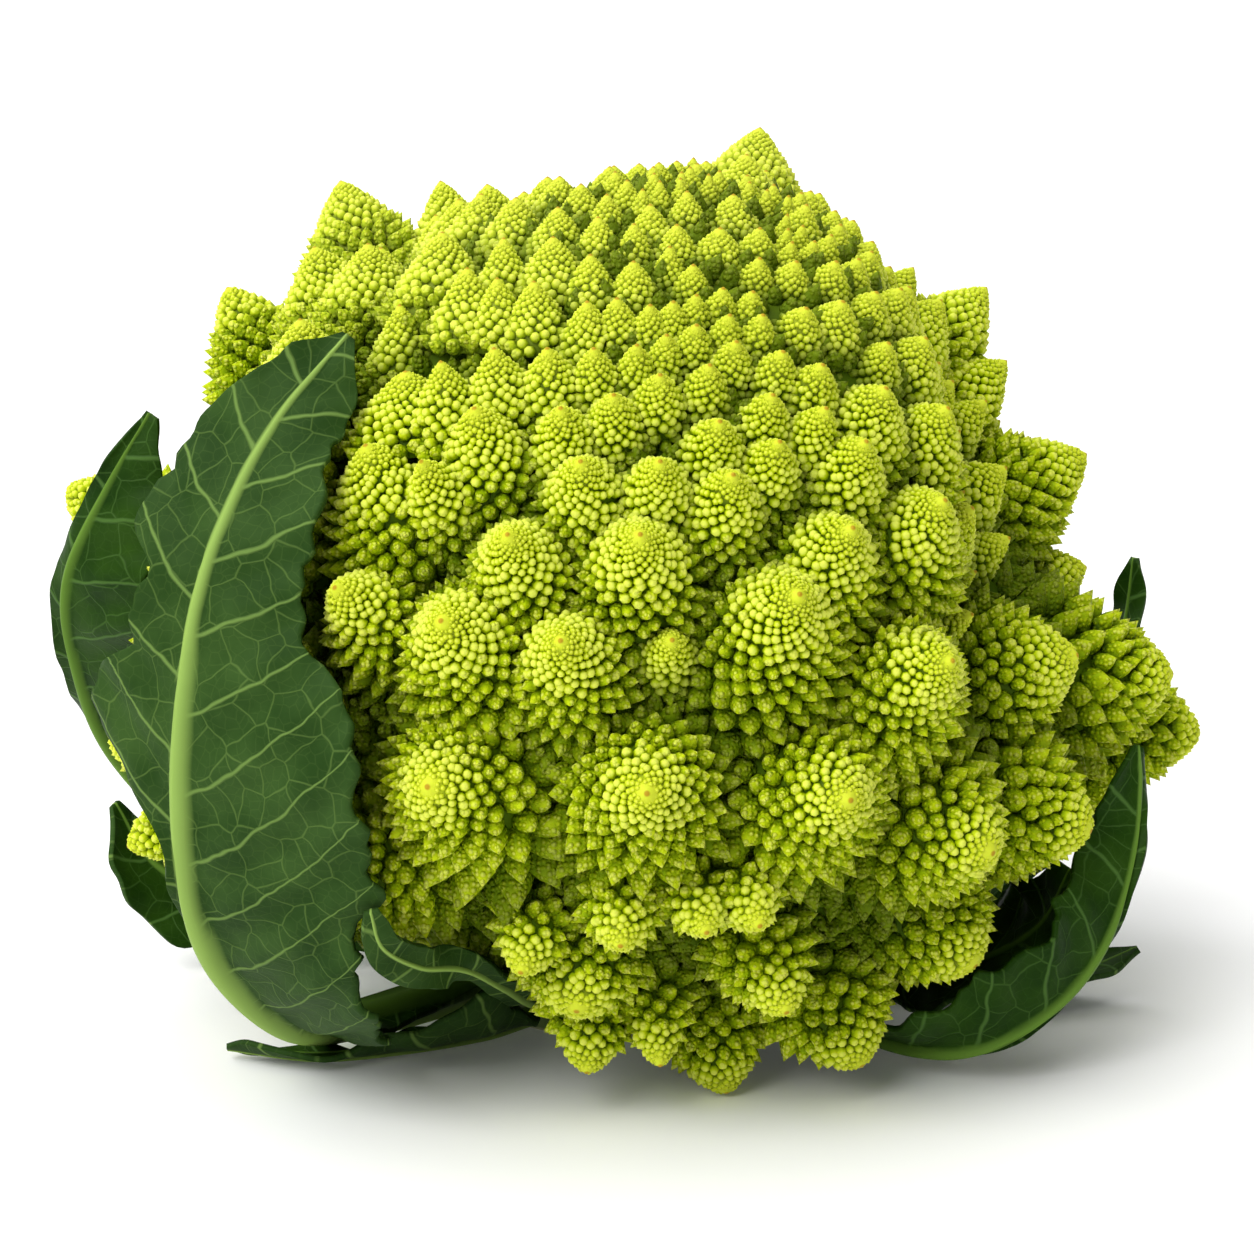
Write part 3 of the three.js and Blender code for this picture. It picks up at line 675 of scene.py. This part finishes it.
def setMode(mode):
    bpy.ops.object.mode_set(mode=mode)


beadRadius = 0.5  # each template is 1 wide
grainForm = {"sides": 4, "top": 0.55, "foot": -0.45}


def modelGrain():
    # the smallest bead, two pyramids foot to foot
    startPiece()
    form = grainForm
    bpy.ops.mesh.primitive_cone_add(vertices=form["sides"], radius1=beadRadius, radius2=0,
                                    depth=form["top"], location=(0, 0, form["top"] / 2),
                                    end_fill_type="TRIFAN")
    bpy.ops.object.transform_apply()
    grain = bpy.context.object
    selectPoints(grain, lambda co: co.xy.length < tiny and co.z < form["top"] / 2)
    bpy.ops.transform.translate(value=(0, 0, form["foot"]))
    setMode("OBJECT")
    return withCrest(*templateOf(grain))


pipForm = {"detail": 1, "tall": 1.15}


def modelPip():
    # a small bead
    startPiece()
    bpy.ops.mesh.primitive_ico_sphere_add(subdivisions=pipForm["detail"], radius=beadRadius)
    bpy.ops.transform.resize(value=(1, 1, pipForm["tall"]))
    bpy.ops.object.transform_apply()
    return withCrest(*templateOf(bpy.context.object))


def withCrest(points, faces):
    # how high each point stands on its bead, 0 at the root and 1 on top; it sets the painted shade at the
    # root and the painted highlight on top
    return points, faces, points[:, 2] + beadRadius


beadForm = {"sides": 7, "rings": 4, "rise": 0.2, "spread": 0.6}


def modelBead():
    # a round bead, its topmost point drawn up and what is near it with it
    startPiece()
    form = beadForm
    bpy.ops.mesh.primitive_uv_sphere_add(segments=form["sides"], ring_count=form["rings"],
                                         radius=beadRadius)
    bead = bpy.context.object
    selectPoints(bead, lambda co: co.z > beadRadius - tiny)
    bpy.ops.transform.translate(value=(0, 0, form["rise"]), use_proportional_edit=True,
                                proportional_edit_falloff="SMOOTH", proportional_size=form["spread"])
    setMode("OBJECT")
    return withCrest(*templateOf(bead))


def selectPoints(piece, test):
    # only the points that the test names, in edit mode
    setMode("EDIT")
    bpy.ops.mesh.select_mode(type="VERT")
    bpy.ops.mesh.select_all(action="DESELECT")
    setMode("OBJECT")
    for vertex in piece.data.vertices:
        vertex.select = bool(test(vertex.co))
    setMode("EDIT")


budForm = {
    "sides": 10,
    "rings": [(0.15, 0.7), (0.33, 0.4), (0.47, 0.04), (0.5, -0.25)],  # radius and height, for a bud 1 wide
    "tip": 0.95,
    "foot": -0.42,
    "crestFrom": -0.25, "crestOver": 0.9,
}


def modelBud():
    # a pointed bud: rings drawn out from a small cap
    startPiece()
    radius, height = budForm["rings"][0]
    cap = budForm["tip"] - height
    bpy.ops.mesh.primitive_cone_add(vertices=budForm["sides"], radius1=radius, radius2=0, depth=cap,
                                    location=(0, 0, height + cap / 2))
    bpy.ops.object.transform_apply()
    body = bpy.context.object
    selectPoints(body, lambda co: co.z < height + tiny)
    bpy.ops.mesh.select_mode(type="FACE")
    for nextRadius, nextHeight in budForm["rings"][1:]:
        bpy.ops.mesh.extrude_region_move(TRANSFORM_OT_translate={"value": (0, 0, nextHeight - height)})
        grow = nextRadius / radius
        bpy.ops.transform.resize(value=(grow, grow, 1))
        radius, height = nextRadius, nextHeight
    bpy.ops.mesh.poke(offset=height - budForm["foot"])
    setMode("OBJECT")
    points, faces = templateOf(body)
    return points, faces, np.clip((points[:, 2] - budForm["crestFrom"]) / budForm["crestOver"], 0, 1)


grain = modelGrain()
pip = modelPip()
bead = modelBead()
bud = modelBud()
print("grain", len(grain[1]), "pip", len(pip[1]), "bead", len(bead[1]), "bud", len(bud[1]), "triangles")


# curd: every floret is covered with beads on its own spiral

cover = {
    "seed": 7,
    "fill": 0.7,
    "start": 0.02, "end": 0.97,  # of the width and of the length, from the tip
    "uneven": (0.88, 1.14),
    "bare": 0.7, "barePart": 0.025,  # mm and share of the width that stay smooth round the tip
    "least": 0.45, "grown": 0.86,  # mm at the tip, and the share of a floret's own growth
    "leanTip": 0.6, "leanRim": 0.05, "rim": 0.75,  # how far beads turn towards the tip, and where the rim is
    "sunk": 0.2,  # of a bead's width, under the floret's surface
    "grainUnder": 0.75, "pipUnder": 1.25,  # mm
    "budOver": 2.2,  # mm
    "dotted": (1.6, 2.4),  # mm, from plain beads to those with dots of their own
    "middle": 0.35, "foot": 0.4, "tip": 0.7,  # of a bead's width from its place
    "underCore": 1.5, "underFloret": -1.0, "leafGap": 1.1,  # mm
    "shrink": 0.94,  # of the floret's radius, because the beads stand out
    "stray": 0.1,  # of its width, how far a bead is out of line
    "hidden": 0.86,  # a bead inside this share of a neighbour's radius isn't seen
    "steep": 0.9,
    "farOff": 30,  # mm from any tip
    "deepest": 1.2,
    "pieceOver": 150000,  # triangles that close a piece
}


def floretRadius(floret, t):
    # radius at a distance below the tip
    down = np.clip(t / floret["length"], 0, 1)
    return floret["radius"] * cover["shrink"] * down ** floret["fullness"]


def roundAxis(axis, turn):
    # directions square to an axis
    side = unit(np.cross(axis, [0, 0, 1] if abs(axis[2]) < cover["steep"] else [1, 0, 0]))
    return side * np.cos(turn)[:, None] + np.cross(axis, side) * np.sin(turn)[:, None]


def coverFloret(floret, draw):
    # places, directions, sizes and distances from the tip of the beads of one floret
    hand = draw.choice([-1, 1])
    phase = draw.uniform(0, 2 * math.pi)
    t = cover["start"] * floret["width"]
    rows = []
    count = 0
    bare = cover["bare"] + cover["barePart"] * floret["width"]
    while t < floret["length"] * cover["end"]:
        radius = float(floretRadius(floret, t))
        slope = floret["fullness"] * radius / t
        far = math.hypot(t, radius)
        size = cover["least"] + cover["grown"] * floret["growth"] * far
        if far > bare:
            rows.append((t, radius, slope, size, phase + hand * count * goldenTurn, far))
        t += cover["fill"] * size**2 / (2 * math.pi * radius * math.hypot(1, slope))
        count += 1
    t, radius, slope, size, turn, far = np.array(rows).T
    size = size * draw.uniform(*cover["uneven"], len(size))
    turn = turn + draw.normal(scale=cover["stray"], size=len(size)) * size / radius
    t = t + draw.normal(scale=cover["stray"], size=len(size)) * size / np.hypot(1, slope)
    radius = floretRadius(floret, t)
    axis = floret["axis"]
    radial = roundAxis(axis, turn)
    normal = unit(radial + axis * slope[:, None])
    upward = unit(axis - (normal @ axis)[:, None] * normal)
    place = floret["tip"] - axis * t[:, None] + radial * radius[:, None]
    place -= normal * (size * cover["sunk"])[:, None]
    rim = np.clip(far / (cover["rim"] * floret["width"]), 0, 1)[:, None]
    lean = cover["leanTip"] + (cover["leanRim"] - cover["leanTip"]) * rim
    return place, unit(normal + upward * lean), size, far


def hiddenBy(places, own, share):
    # which places lie inside the core, or deep inside a floret other than their own
    out, far = fromCentre(places)
    hidden = far < coreAlong(out) - cover["underCore"]
    for i, other in enumerate(florets):
        if i == own:
            continue
        along, side = besideAxis(places, other["base"], other["axis"])
        wide = floretRadius(other, other["length"] - along) * share
        hidden |= (along > cover["underFloret"]) & (along < other["length"]) & (side < wide)
    return hidden


def stamp(template, places, directions, sizes, draw):
    # copies of a template, turned so that its top points along each direction
    points, triangles = template[:2]
    side = unit(np.cross(directions, draw.normal(size=directions.shape)))
    other = np.cross(directions, side)
    turn = np.stack([side, other, directions], axis=2)
    copies = np.einsum("nij,vj->nvi", turn, points) * sizes[:, None, None] + places[:, None]
    faces = triangles[None] + (np.arange(len(places)) * len(points))[:, None, None]
    return copies.reshape(-1, 3), faces.reshape(-1, 3)


coneForm = {
    "sides": 18, "rows": 10, "first": 0.05, "inset": 0.87,
    "nub": 0.2, "nubFull": 0.5, "nubReach": 1.1,
    "tipCap": 2.0, "tipCrest": 0.9, "crestShading": 0.05,  # mm, and the painted shading of the tip, light as if lit, and of the rest, dark as in shade
}


def floretCone(floret):
    # the flesh under the beads, with a round tip
    sides, rows = coneForm["sides"], coneForm["rows"]
    t = floret["length"] * np.linspace(coneForm["first"], 1, rows) ** 2
    radial = roundAxis(floret["axis"], np.arange(sides) * 2 * math.pi / sides)
    nub = coneForm["nub"] * np.sqrt(np.minimum(t, coneForm["nubFull"]))
    nub = nub * np.clip(2 - t / coneForm["nubReach"], 0, 1)
    radius = floretRadius(floret, t) * coneForm["inset"] + nub
    rings = floret["tip"] - floret["axis"] * t[:, None, None] + radial[None] * radius[:, None, None]
    points = np.vstack([floret["tip"][None], rings.reshape(-1, 3), floret["base"][None]])
    now = np.arange(sides)
    after = (now + 1) % sides
    faces = [np.stack([0 * now, 1 + now, 1 + after], 1)]
    for row in range(rows - 1):
        a, b = 1 + row * sides, 1 + (row + 1) * sides
        faces.append(np.stack([a + now, b + now, b + after], 1))
        faces.append(np.stack([a + now, b + after, a + after], 1))
    last = 1 + (rows - 1) * sides
    faces.append(np.stack([last + now, 0 * now + len(points) - 1, last + after], 1))
    return points, np.vstack(faces)


coreBuds = {
    "count": 5200, "size": (2.6, 4.4), "stray": 0.012,
    "clear": 3.0, "hidden": 0.75, "middle": 0.5,
    "upward": 0.3, "uneven": 0.15, "pieces": 2,
}


def coverCore(draw):
    # buds on the core where no floret hides it
    out = allRound(coreBuds["count"])
    out = unit(out + draw.normal(scale=coreBuds["stray"], size=out.shape))
    place = head["centre"] + out * coreAlong(out)[:, None]
    size = draw.uniform(*coreBuds["size"], len(out))
    half = size * coreBuds["middle"]
    seen = ~hiddenBy(place + out * half[:, None], None, coreBuds["hidden"])
    seen &= place[:, 2] > head["tableGap"] + half
    for points in keepClear:
        gap = np.linalg.norm(place[:, None] - points[None], axis=2).min(1)
        seen &= gap > coreBuds["clear"] + half
    lean = head["pole"] * coreBuds["upward"] + draw.normal(scale=coreBuds["uneven"], size=out.shape)
    return place[seen], unit(out + lean)[seen], size[seen]


def deepAt(place):
    # 0 at the floret tips, 1 down on the core; it sets the painted shade between the florets
    out, far = fromCentre(place)
    depth = depthAt(angleBetween(out, head["pole"]))
    return np.clip((reachAlong(out) - far) / depth, 0, cover["deepest"])


def buildCurd():
    # the parts of each piece: points, triangles and the marks that joinParts names
    draw = np.random.default_rng(cover["seed"])
    blades = leafTree()
    pieces, batch, total = [], [], 0
    place, direction, size = coverCore(draw)
    for half in np.array_split(np.arange(len(place)), coreBuds["pieces"]):
        points, faces = stamp(bud, place[half], direction[half], size[half], draw)
        plain = np.ones(len(points))
        # the buds on the core get the full painted shade
        pieces.append([(points, faces, np.tile(bud[2], len(half)), cover["farOff"] * plain, plain, plain)])
    print(len(place), "buds on the core")
    bases = np.array([floret["base"] for floret in florets])
    for i in sorted(range(len(florets)), key=lambda i: math.atan2(bases[i, 1], bases[i, 0])):
        floret = florets[i]
        place, direction, size, far = coverFloret(floret, draw)
        seen = ~hiddenBy(place + direction * (size * cover["middle"])[:, None], i, cover["hidden"])
        seen &= place[:, 2] - size * cover["foot"] > head["tableGap"]
        tips = place + direction * (size * cover["tip"])[:, None]
        seen &= np.array([blades.find(tip)[2] for tip in tips]) > cover["leafGap"]
        kind = np.digitize(size, [cover["grainUnder"], cover["pipUnder"], cover["budOver"]])
        marks = np.stack([far, deepAt(place), smoothStep(size, *cover["dotted"])])
        for number, template in enumerate((grain, pip, bead, bud)):
            which = seen & (kind == number)
            if which.any():
                points, faces = stamp(template, place[which], direction[which], size[which], draw)
                crestShading = np.tile(template[2], which.sum())
                batch.append((points, faces, crestShading, *np.repeat(marks[:, which], len(template[0]), axis=1)))
                total += len(faces)
        points, faces = floretCone(floret)
        near = np.linalg.norm(points - points[0], axis=1)
        crestShading = np.where(near < coneForm["tipCap"], coneForm["tipCrest"], coneForm["crestShading"])
        batch.append((points, faces, crestShading, near, deepAt(points), 0 * near))
        total += len(faces)
        if total > cover["pieceOver"]:
            pieces.append(batch)
            batch, total = [], 0
    pieces.append(batch)
    return pieces


def joinParts(parts):
    starts = np.cumsum([0] + [len(p[0]) for p in parts[:-1]])
    points = np.vstack([p[0] for p in parts])
    faces = np.vstack([p[1] + s for p, s in zip(parts, starts)])
    names = ("crestShading", "tipward", "deep", "dotted")
    marks = {name: np.concatenate([p[n] for p in parts]) for n, name in enumerate(names, 2)}
    return points, faces, marks


coreForm = {"detail": 5}


def curdCore():
    # the body that the florets grow from
    startPiece()
    bpy.ops.mesh.primitive_ico_sphere_add(subdivisions=coreForm["detail"], radius=1)
    points, faces = templateOf(bpy.context.object)
    out = unit(points)
    return head["centre"] + out * coreAlong(out)[:, None], faces


curdLook = {
    "crestShading": [(0.1, (0.055, 0.105, 0.0005, 1)), (0.55, (0.27, 0.385, 0.0005, 1)),
              (0.86, (0.5, 0.6, 0.006, 1)), (1.0, (0.66, 0.73, 0.09, 1))],  # painted shade at a bead's root, up to a painted highlight on its top
    # dots on the bigger beads: a bump, with a painted highlight on each dot and painted shade between them
    "dots": {"Scale": 1250, "Randomness": 0.6},
    "dotEdge": 0.62, "dotTop": 0.18, "dotHighlight": 0.45, "dotShade": -0.2,
    "dotBump": {"Strength": 0.9, "Distance": 0.0005},
    "topLight": (0.1, 0.13, 0, 0.4), "topLightColour": (0.72, 0.78, 0.1, 1),  # painted light: paler higher up, where the light from above falls; between heights in m, and how much
    "tip": (1.0, 5.0, 0.6, 0), "tipColour": (0.6, 0.67, 0.035, 1),  # by the distance from the tip in mm
    "brown": (0.3, 0.55, 0.8, 0), "brownColour": (0.38, 0.17, 0.012, 1),
    "deep": (0.52, 1.0, 0, 0.8), "gapShadeColour": (0.05, 0.1, 0.001, 1),  # painted shade, darker by the depth between the florets
    "surface": {"Roughness": 0.5, "Specular IOR Level": 0.06, "Subsurface Weight": 0.1,
                "Subsurface Radius": (0.6, 1.0, 0.15), "Subsurface Scale": 0.002},
}


def curdFinish():
    look = curdLook
    material, tree = newMaterial("curd")
    place = objectPlace(tree)
    dots = addNode(tree, "TexVoronoi", "Distance", {"Vector": place, **look["dots"]})
    dotted = attributeNode(tree, "dotted")
    relief = mathNode(tree, "MULTIPLY", rangeNode(tree, dots, look["dotEdge"], look["dotTop"], 0, 1), dotted)
    # painted highlight on the dots, then painted shade over the dotted beads between them
    dotsHighlit = mathNode(tree, "MULTIPLY_ADD", relief, look["dotHighlight"], attributeNode(tree, "crestShading"))
    dotsShaded = mathNode(tree, "MULTIPLY_ADD", dotted, look["dotShade"], dotsHighlit)
    # painted shade and highlight: the ramp darkens the roots and lightens the tops of the beads
    colour = rampNode(tree, dotsShaded, look["crestShading"])
    height = addNode(tree, "SeparateXYZ", "Z", {"Vector": place})
    # painted light on the upper florets
    colour = mixNode(tree, rangeNode(tree, height, *look["topLight"]), colour, look["topLightColour"])
    tipward = attributeNode(tree, "tipward")
    colour = mixNode(tree, rangeNode(tree, tipward, *look["tip"]), colour, look["tipColour"])
    colour = mixNode(tree, rangeNode(tree, tipward, *look["brown"]), colour, look["brownColour"])
    # painted shade in the gaps between the florets and on the core
    deep = rangeNode(tree, attributeNode(tree, "deep"), *look["deep"], "SMOOTHSTEP")
    colour = mixNode(tree, deep, colour, look["gapShadeColour"])
    normal = bumpNode(tree, relief, look["dotBump"])
    finishShader(tree, {"Base Color": colour, "Normal": normal, **look["surface"]})
    return material


curdMaterial = curdFinish()


def addCurd():
    count = 0
    for number, parts in enumerate(buildCurd(), 1):
        points, faces, marks = joinParts(parts)
        piece = newMesh("curd_part_%d" % number, points, faces, marks)
        finishCurdPiece(piece)
        count += len(faces)
    points, faces = curdCore()
    plain = np.ones(len(points))
    # the core gets the full painted shade
    marks = {"crestShading": 0 * plain, "tipward": cover["farOff"] * plain, "deep": plain, "dotted": 0 * plain}
    finishCurdPiece(newMesh("curd_core", points, faces, marks))
    return count


def finishCurdPiece(piece):
    piece.data.materials.append(curdMaterial)
    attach(piece, "root")
    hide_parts("curd")


print("curd", addCurd(), "triangles")


# leaf blades

bladeForm = {
    "seed": 11,
    "thickness": 0.9,
    "columns": 49, "rowParts": 8,
    "ribSide": 0.55,  # of the rib's width, where the rib ends
    "ribHeight": 0.75,
    "ribSlims": 0.55,  # how much narrower than straight the rib gets by the tip
    "outward": 0.4,  # the rib stands out on the outer side
    "veinEvery": 11, "veinRise": 0.6, "veinBend": 0.012,  # mm between side veins, and how they climb
    "swell": 0.5, "swellOver": 5,  # mm that the blade rises between two side veins, and how far off the rib
    "lobes": [(0.9, 13.7), (0.5, 6.1)],  # mm, and the length of each, round the margin
    "lobeFrom": 2, "lobeOver": 8,  # mm of half-width, from none to all of it
    "lobeDrift": (1.3, 3.1),  # how unevenly they follow one another
    "tableGap": 0.05,
}

leafLook = {
    "patches": {"Scale": 110, "Detail": 5}, "patchFrom": 0.36, "patchTo": 0.66,
    "wander": {"Scale": 0.14, "Detail": 2}, "wanderBy": (3, 3, 0),  # mm
    "veinShift": 500,  # keeps the length along the blade above zero
    "veinWide": (0, 22, 0.55, 0.22), "veinEdge": 0.3,  # mm wide, by the distance from the rib
    "nets": [(0.19, 0.035, 1), (0.6, 0.07, 0.22)],  # scale, width and strength of each net of lines
    "netEdge": 0.2,
    "underRib": (0, 0.6, 1, 0), "ribColour": 0.9,
    "bump": {"Strength": 0.5, "Distance": 0.0004},
}


def netNode(tree, place, scale, wide, strength):
    # a net of fine lines on the flat blade
    net = addNode(tree, "TexVoronoi", "Distance", {"Scale": scale, "Vector": place},
                  voronoi_dimensions="2D", feature="DISTANCE_TO_EDGE")
    return rangeNode(tree, net, leafLook["netEdge"] * wide, wide, strength, 0)


def sideVeins(tree, flat, shifted, strength):
    # lines that leave the rib by turns at the left and the right, and climb
    every = bladeForm["veinEvery"]
    across = addNode(tree, "SeparateXYZ", "X", {"Vector": flat})
    along = addNode(tree, "SeparateXYZ", "Y", {"Vector": shifted})
    side = mathNode(tree, "ABSOLUTE", across)
    climb = mathNode(tree, "MULTIPLY_ADD", side, bladeForm["veinBend"], bladeForm["veinRise"])
    rise = mathNode(tree, "MULTIPLY", climb, side)
    staggered = mathNode(tree, "MULTIPLY_ADD", mathNode(tree, "SIGN", across), every / 4, along)
    along = mathNode(tree, "ADD", mathNode(tree, "SUBTRACT", staggered, rise), leafLook["veinShift"])
    off = mathNode(tree, "SUBTRACT", mathNode(tree, "MODULO", along, every), every / 2)
    wide = rangeNode(tree, side, *leafLook["veinWide"])
    part = mathNode(tree, "DIVIDE", mathNode(tree, "ABSOLUTE", off), wide)
    return rangeNode(tree, part, leafLook["veinEdge"], 1, strength, 0)


def leafFinish(name, finish):
    look = leafLook
    material, tree = newMaterial(name)
    patches = addNode(tree, "TexNoise", "Fac", {"Vector": objectPlace(tree), **look["patches"]})
    green = rampNode(tree, patches, [(look["patchFrom"], finish["deep"]), (look["patchTo"], finish["light"])])
    flat = addNode(tree, "UVMap", "UV", {}, uv_map="blade")
    wander = addNode(tree, "TexNoise", "Color", {"Vector": flat, **look["wander"]})
    shifted = addNode(tree, "VectorMath", "Vector", {0: wander, 1: look["wanderBy"], 2: flat},
                      operation="MULTIPLY_ADD")
    drawn = sideVeins(tree, flat, shifted, finish["veins"])
    for scale, wide, strength in look["nets"]:
        net = netNode(tree, shifted, scale, wide, strength * finish["net"])
        drawn = mathNode(tree, "MAXIMUM", drawn, net)
    rib = attributeNode(tree, "rib")
    lines = mathNode(tree, "MULTIPLY", drawn, rangeNode(tree, rib, *look["underRib"]))
    veined = mixNode(tree, lines, green, finish["vein"])
    ribbed = mixNode(tree, mathNode(tree, "MULTIPLY", rib, look["ribColour"]), veined, finish["rib"])
    finishShader(tree, {"Base Color": ribbed, "Normal": bumpNode(tree, lines, look["bump"]),
                        "Roughness": finish["roughness"], "Specular IOR Level": finish["gloss"]})
    return material


outerLeaf = leafFinish("leafOuter", {
    "deep": (0.015, 0.043, 0.006, 1), "light": (0.031, 0.072, 0.013, 1), "vein": (0.15, 0.25, 0.055, 1),
    "rib": (0.28, 0.43, 0.09, 1), "veins": 0.75, "net": 0.3, "roughness": 0.55, "gloss": 0.05,
})
# the inner face of a leaf, made darker also as painted shade: a shaded copy of the outer finish
innerShadedLeaf = leafFinish("leafInnerShaded", {
    "deep": (0.008, 0.03, 0.002, 1), "light": (0.02, 0.057, 0.004, 1), "vein": (0.08, 0.17, 0.035, 1),
    "rib": (0.12, 0.23, 0.03, 1), "veins": 0.6, "net": 0.3, "roughness": 0.45, "gloss": 0.045,
})


def addLeaf(name, leaf, draw):
    form = bladeForm
    rows, columns = form["rowParts"] * leaf["rows"], form["columns"]
    share = np.linspace(0, 1, rows)
    frames = leafFrames(leaf, share)
    length = np.concatenate([[0], np.cumsum(np.linalg.norm(np.diff(frames[0], axis=0), axis=1))])
    widths = frames[4]
    lobed = widths.copy()
    for edge in (0, 1):
        room = np.clip((widths[:, edge] - form["lobeFrom"]) / form["lobeOver"], 0, 1)
        for height, every in form["lobes"]:
            turn = length * 2 * math.pi / every
            drift = form["lobeDrift"][0] * np.sin(turn / form["lobeDrift"][1] + draw.uniform(0, 2 * math.pi))
            lobed[:, edge] += room * height * np.sin(turn + drift + draw.uniform(0, 2 * math.pi))
    across = acrossBlade(lobed, columns)
    frames = (*frames[:4], lobed)
    points = leafSurface(leaf, share, across, frames)
    rib = (ribWidth(leaf, share) * (1 - form["ribSlims"] * share))[:, None]
    away = np.abs(across)
    ridge = np.clip(1 - (away / (form["ribSide"] * rib)) ** 2, 0, 1)
    climb = form["veinRise"] * away + form["veinBend"] * away**2
    cell = (length[:, None] + np.sign(across) * form["veinEvery"] / 4 - climb) / form["veinEvery"]
    swell = form["swell"] * np.cos(2 * math.pi * cell) * np.clip((away - rib / 2) / form["swellOver"], 0, 1)
    points = points + frames[2][:, None] * swell[..., None]
    startPiece()
    bpy.ops.mesh.primitive_grid_add(x_subdivisions=columns - 1, y_subdivisions=rows - 1, size=2)
    blade = bpy.context.object
    blade.name = name + "_blade"
    blade.data.name = name
    mesh = blade.data
    mesh.vertices.foreach_set("co", (points.reshape(-1, 3) * mm).astype(np.float32).ravel())
    height = np.sqrt(ridge).astype(np.float32).ravel()
    mesh.attributes.new("rib", "FLOAT", "POINT").data.foreach_set("value", height)
    flat = np.stack([across, np.repeat(length[:, None], columns, 1)], 2).reshape(-1, 2)
    uv = mesh.uv_layers.new(name="blade")
    loops = np.empty(len(mesh.loops), np.int32)
    mesh.loops.foreach_get("vertex_index", loops)
    uv.data.foreach_set("uv", flat[loops].astype(np.float32).ravel())
    thick = form["thickness"] + form["ribHeight"] * rib * ridge
    most = float(thick.max())
    group = blade.vertex_groups.new(name="thick")
    for i, value in enumerate((thick / most).ravel()):
        group.add([i], float(value), "REPLACE")
    # a turned leaf shows the darker inner finish, painted shade, on its first face
    for finish in (innerShadedLeaf, outerLeaf) if leaf.get("turned") else (outerLeaf, innerShadedLeaf):
        mesh.materials.append(finish)
    mesh.update()
    mesh.shade_smooth()
    shell = blade.modifiers.new("shell", "SOLIDIFY")
    shell.thickness = most * mm
    shell.offset = form["outward"]
    shell.vertex_group = "thick"
    shell.material_offset = 1
    bpy.ops.object.modifier_apply(modifier="shell")
    for vertex in blade.data.vertices:
        vertex.co.z = max(vertex.co.z, form["tableGap"] * mm)
    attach(blade, "root")
    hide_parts(name)


leafDraw = np.random.default_rng(bladeForm["seed"])
for leafName, leafShape in leaves.items():
    addLeaf(leafName, leafShape, leafDraw)
print(len(leaves), "leaves made")


# stem

stump = {
    "sides": 96, "rows": 10, "top": 31,
    "edge": 0.8, "edgeInset": 0.97,  # the worn rim of the cut
    "ridges": [(0.35, 7), (0.2, 19)], "ridgeFrom": 6,  # mm and how many go round, and the height of full ones
    "smooth": 40,  # degrees
}

stumpLook = {
    "stretch": (1, 1, 0.2), "streaks": {"Scale": 300, "Detail": 6},
    "skin": [(0.3, (0.2, 0.31, 0.07, 1)), (0.7, (0.42, 0.53, 0.2, 1))],
    "flesh": [(0, (0.5, 0.52, 0.27, 1)), (1, (0.72, 0.74, 0.5, 1))],
    "cutEnds": (0.0002, 0.0007, 1, 0),  # m over the table
    "roughness": 0.6,
}


def stemFinish():
    look = stumpLook
    material, tree = newMaterial("stem")
    place = objectPlace(tree)
    stretched = addNode(tree, "Mapping", "Vector", {"Vector": place, "Scale": look["stretch"]})
    streaks = addNode(tree, "TexNoise", "Fac", {"Vector": stretched, **look["streaks"]})
    height = addNode(tree, "SeparateXYZ", "Z", {"Vector": place})
    skin, flesh = rampNode(tree, streaks, look["skin"]), rampNode(tree, streaks, look["flesh"])
    tint = mixNode(tree, rangeNode(tree, height, *look["cutEnds"]), skin, flesh)
    finishShader(tree, {"Base Color": tint, "Roughness": look["roughness"]})
    return material


def addStem():
    startPiece()
    edge = stump["edge"] * mm
    bpy.ops.mesh.primitive_cylinder_add(vertices=stump["sides"], radius=stem["cut"] * mm, depth=edge,
                                        location=(0, 0, edge / 2))
    bpy.ops.object.transform_apply()
    piece = bpy.context.object
    piece.name = "stem_stump"
    selectPoints(piece, lambda co: co.z < edge / 2)
    bpy.ops.transform.resize(value=(stump["edgeInset"], stump["edgeInset"], 1))
    selectPoints(piece, lambda co: co.z > edge / 2)
    bpy.ops.mesh.select_mode(type="FACE")
    heights = np.linspace(stump["edge"], stump["top"], stump["rows"] + 1)
    for low, high in zip(heights, heights[1:]):
        step = (leanStem(high) - leanStem(low)) * mm
        bpy.ops.mesh.extrude_region_move(TRANSFORM_OT_translate={"value": step})
        grow = stemRadius(high) / stemRadius(low)
        bpy.ops.transform.resize(value=(grow, grow, 1))
    setMode("OBJECT")
    for vertex in piece.data.vertices:
        middle = Vector(leanStem(vertex.co.z / mm)) * mm
        out = vertex.co - middle
        turn = math.atan2(out.y, out.x)
        fade = min(1, vertex.co.z / (stump["ridgeFrom"] * mm))
        rise = sum(height * math.sin(count * turn) for height, count in stump["ridges"])
        vertex.co += out.normalized() * min(0, rise) * fade * mm
    startPiece()
    piece.select_set(True)
    bpy.ops.object.shade_smooth_by_angle(angle=math.radians(stump["smooth"]))
    piece.data.materials.append(stemFinish())
    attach(piece, "root")
    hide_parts("cut_stem")


addStem()
print("stem made")
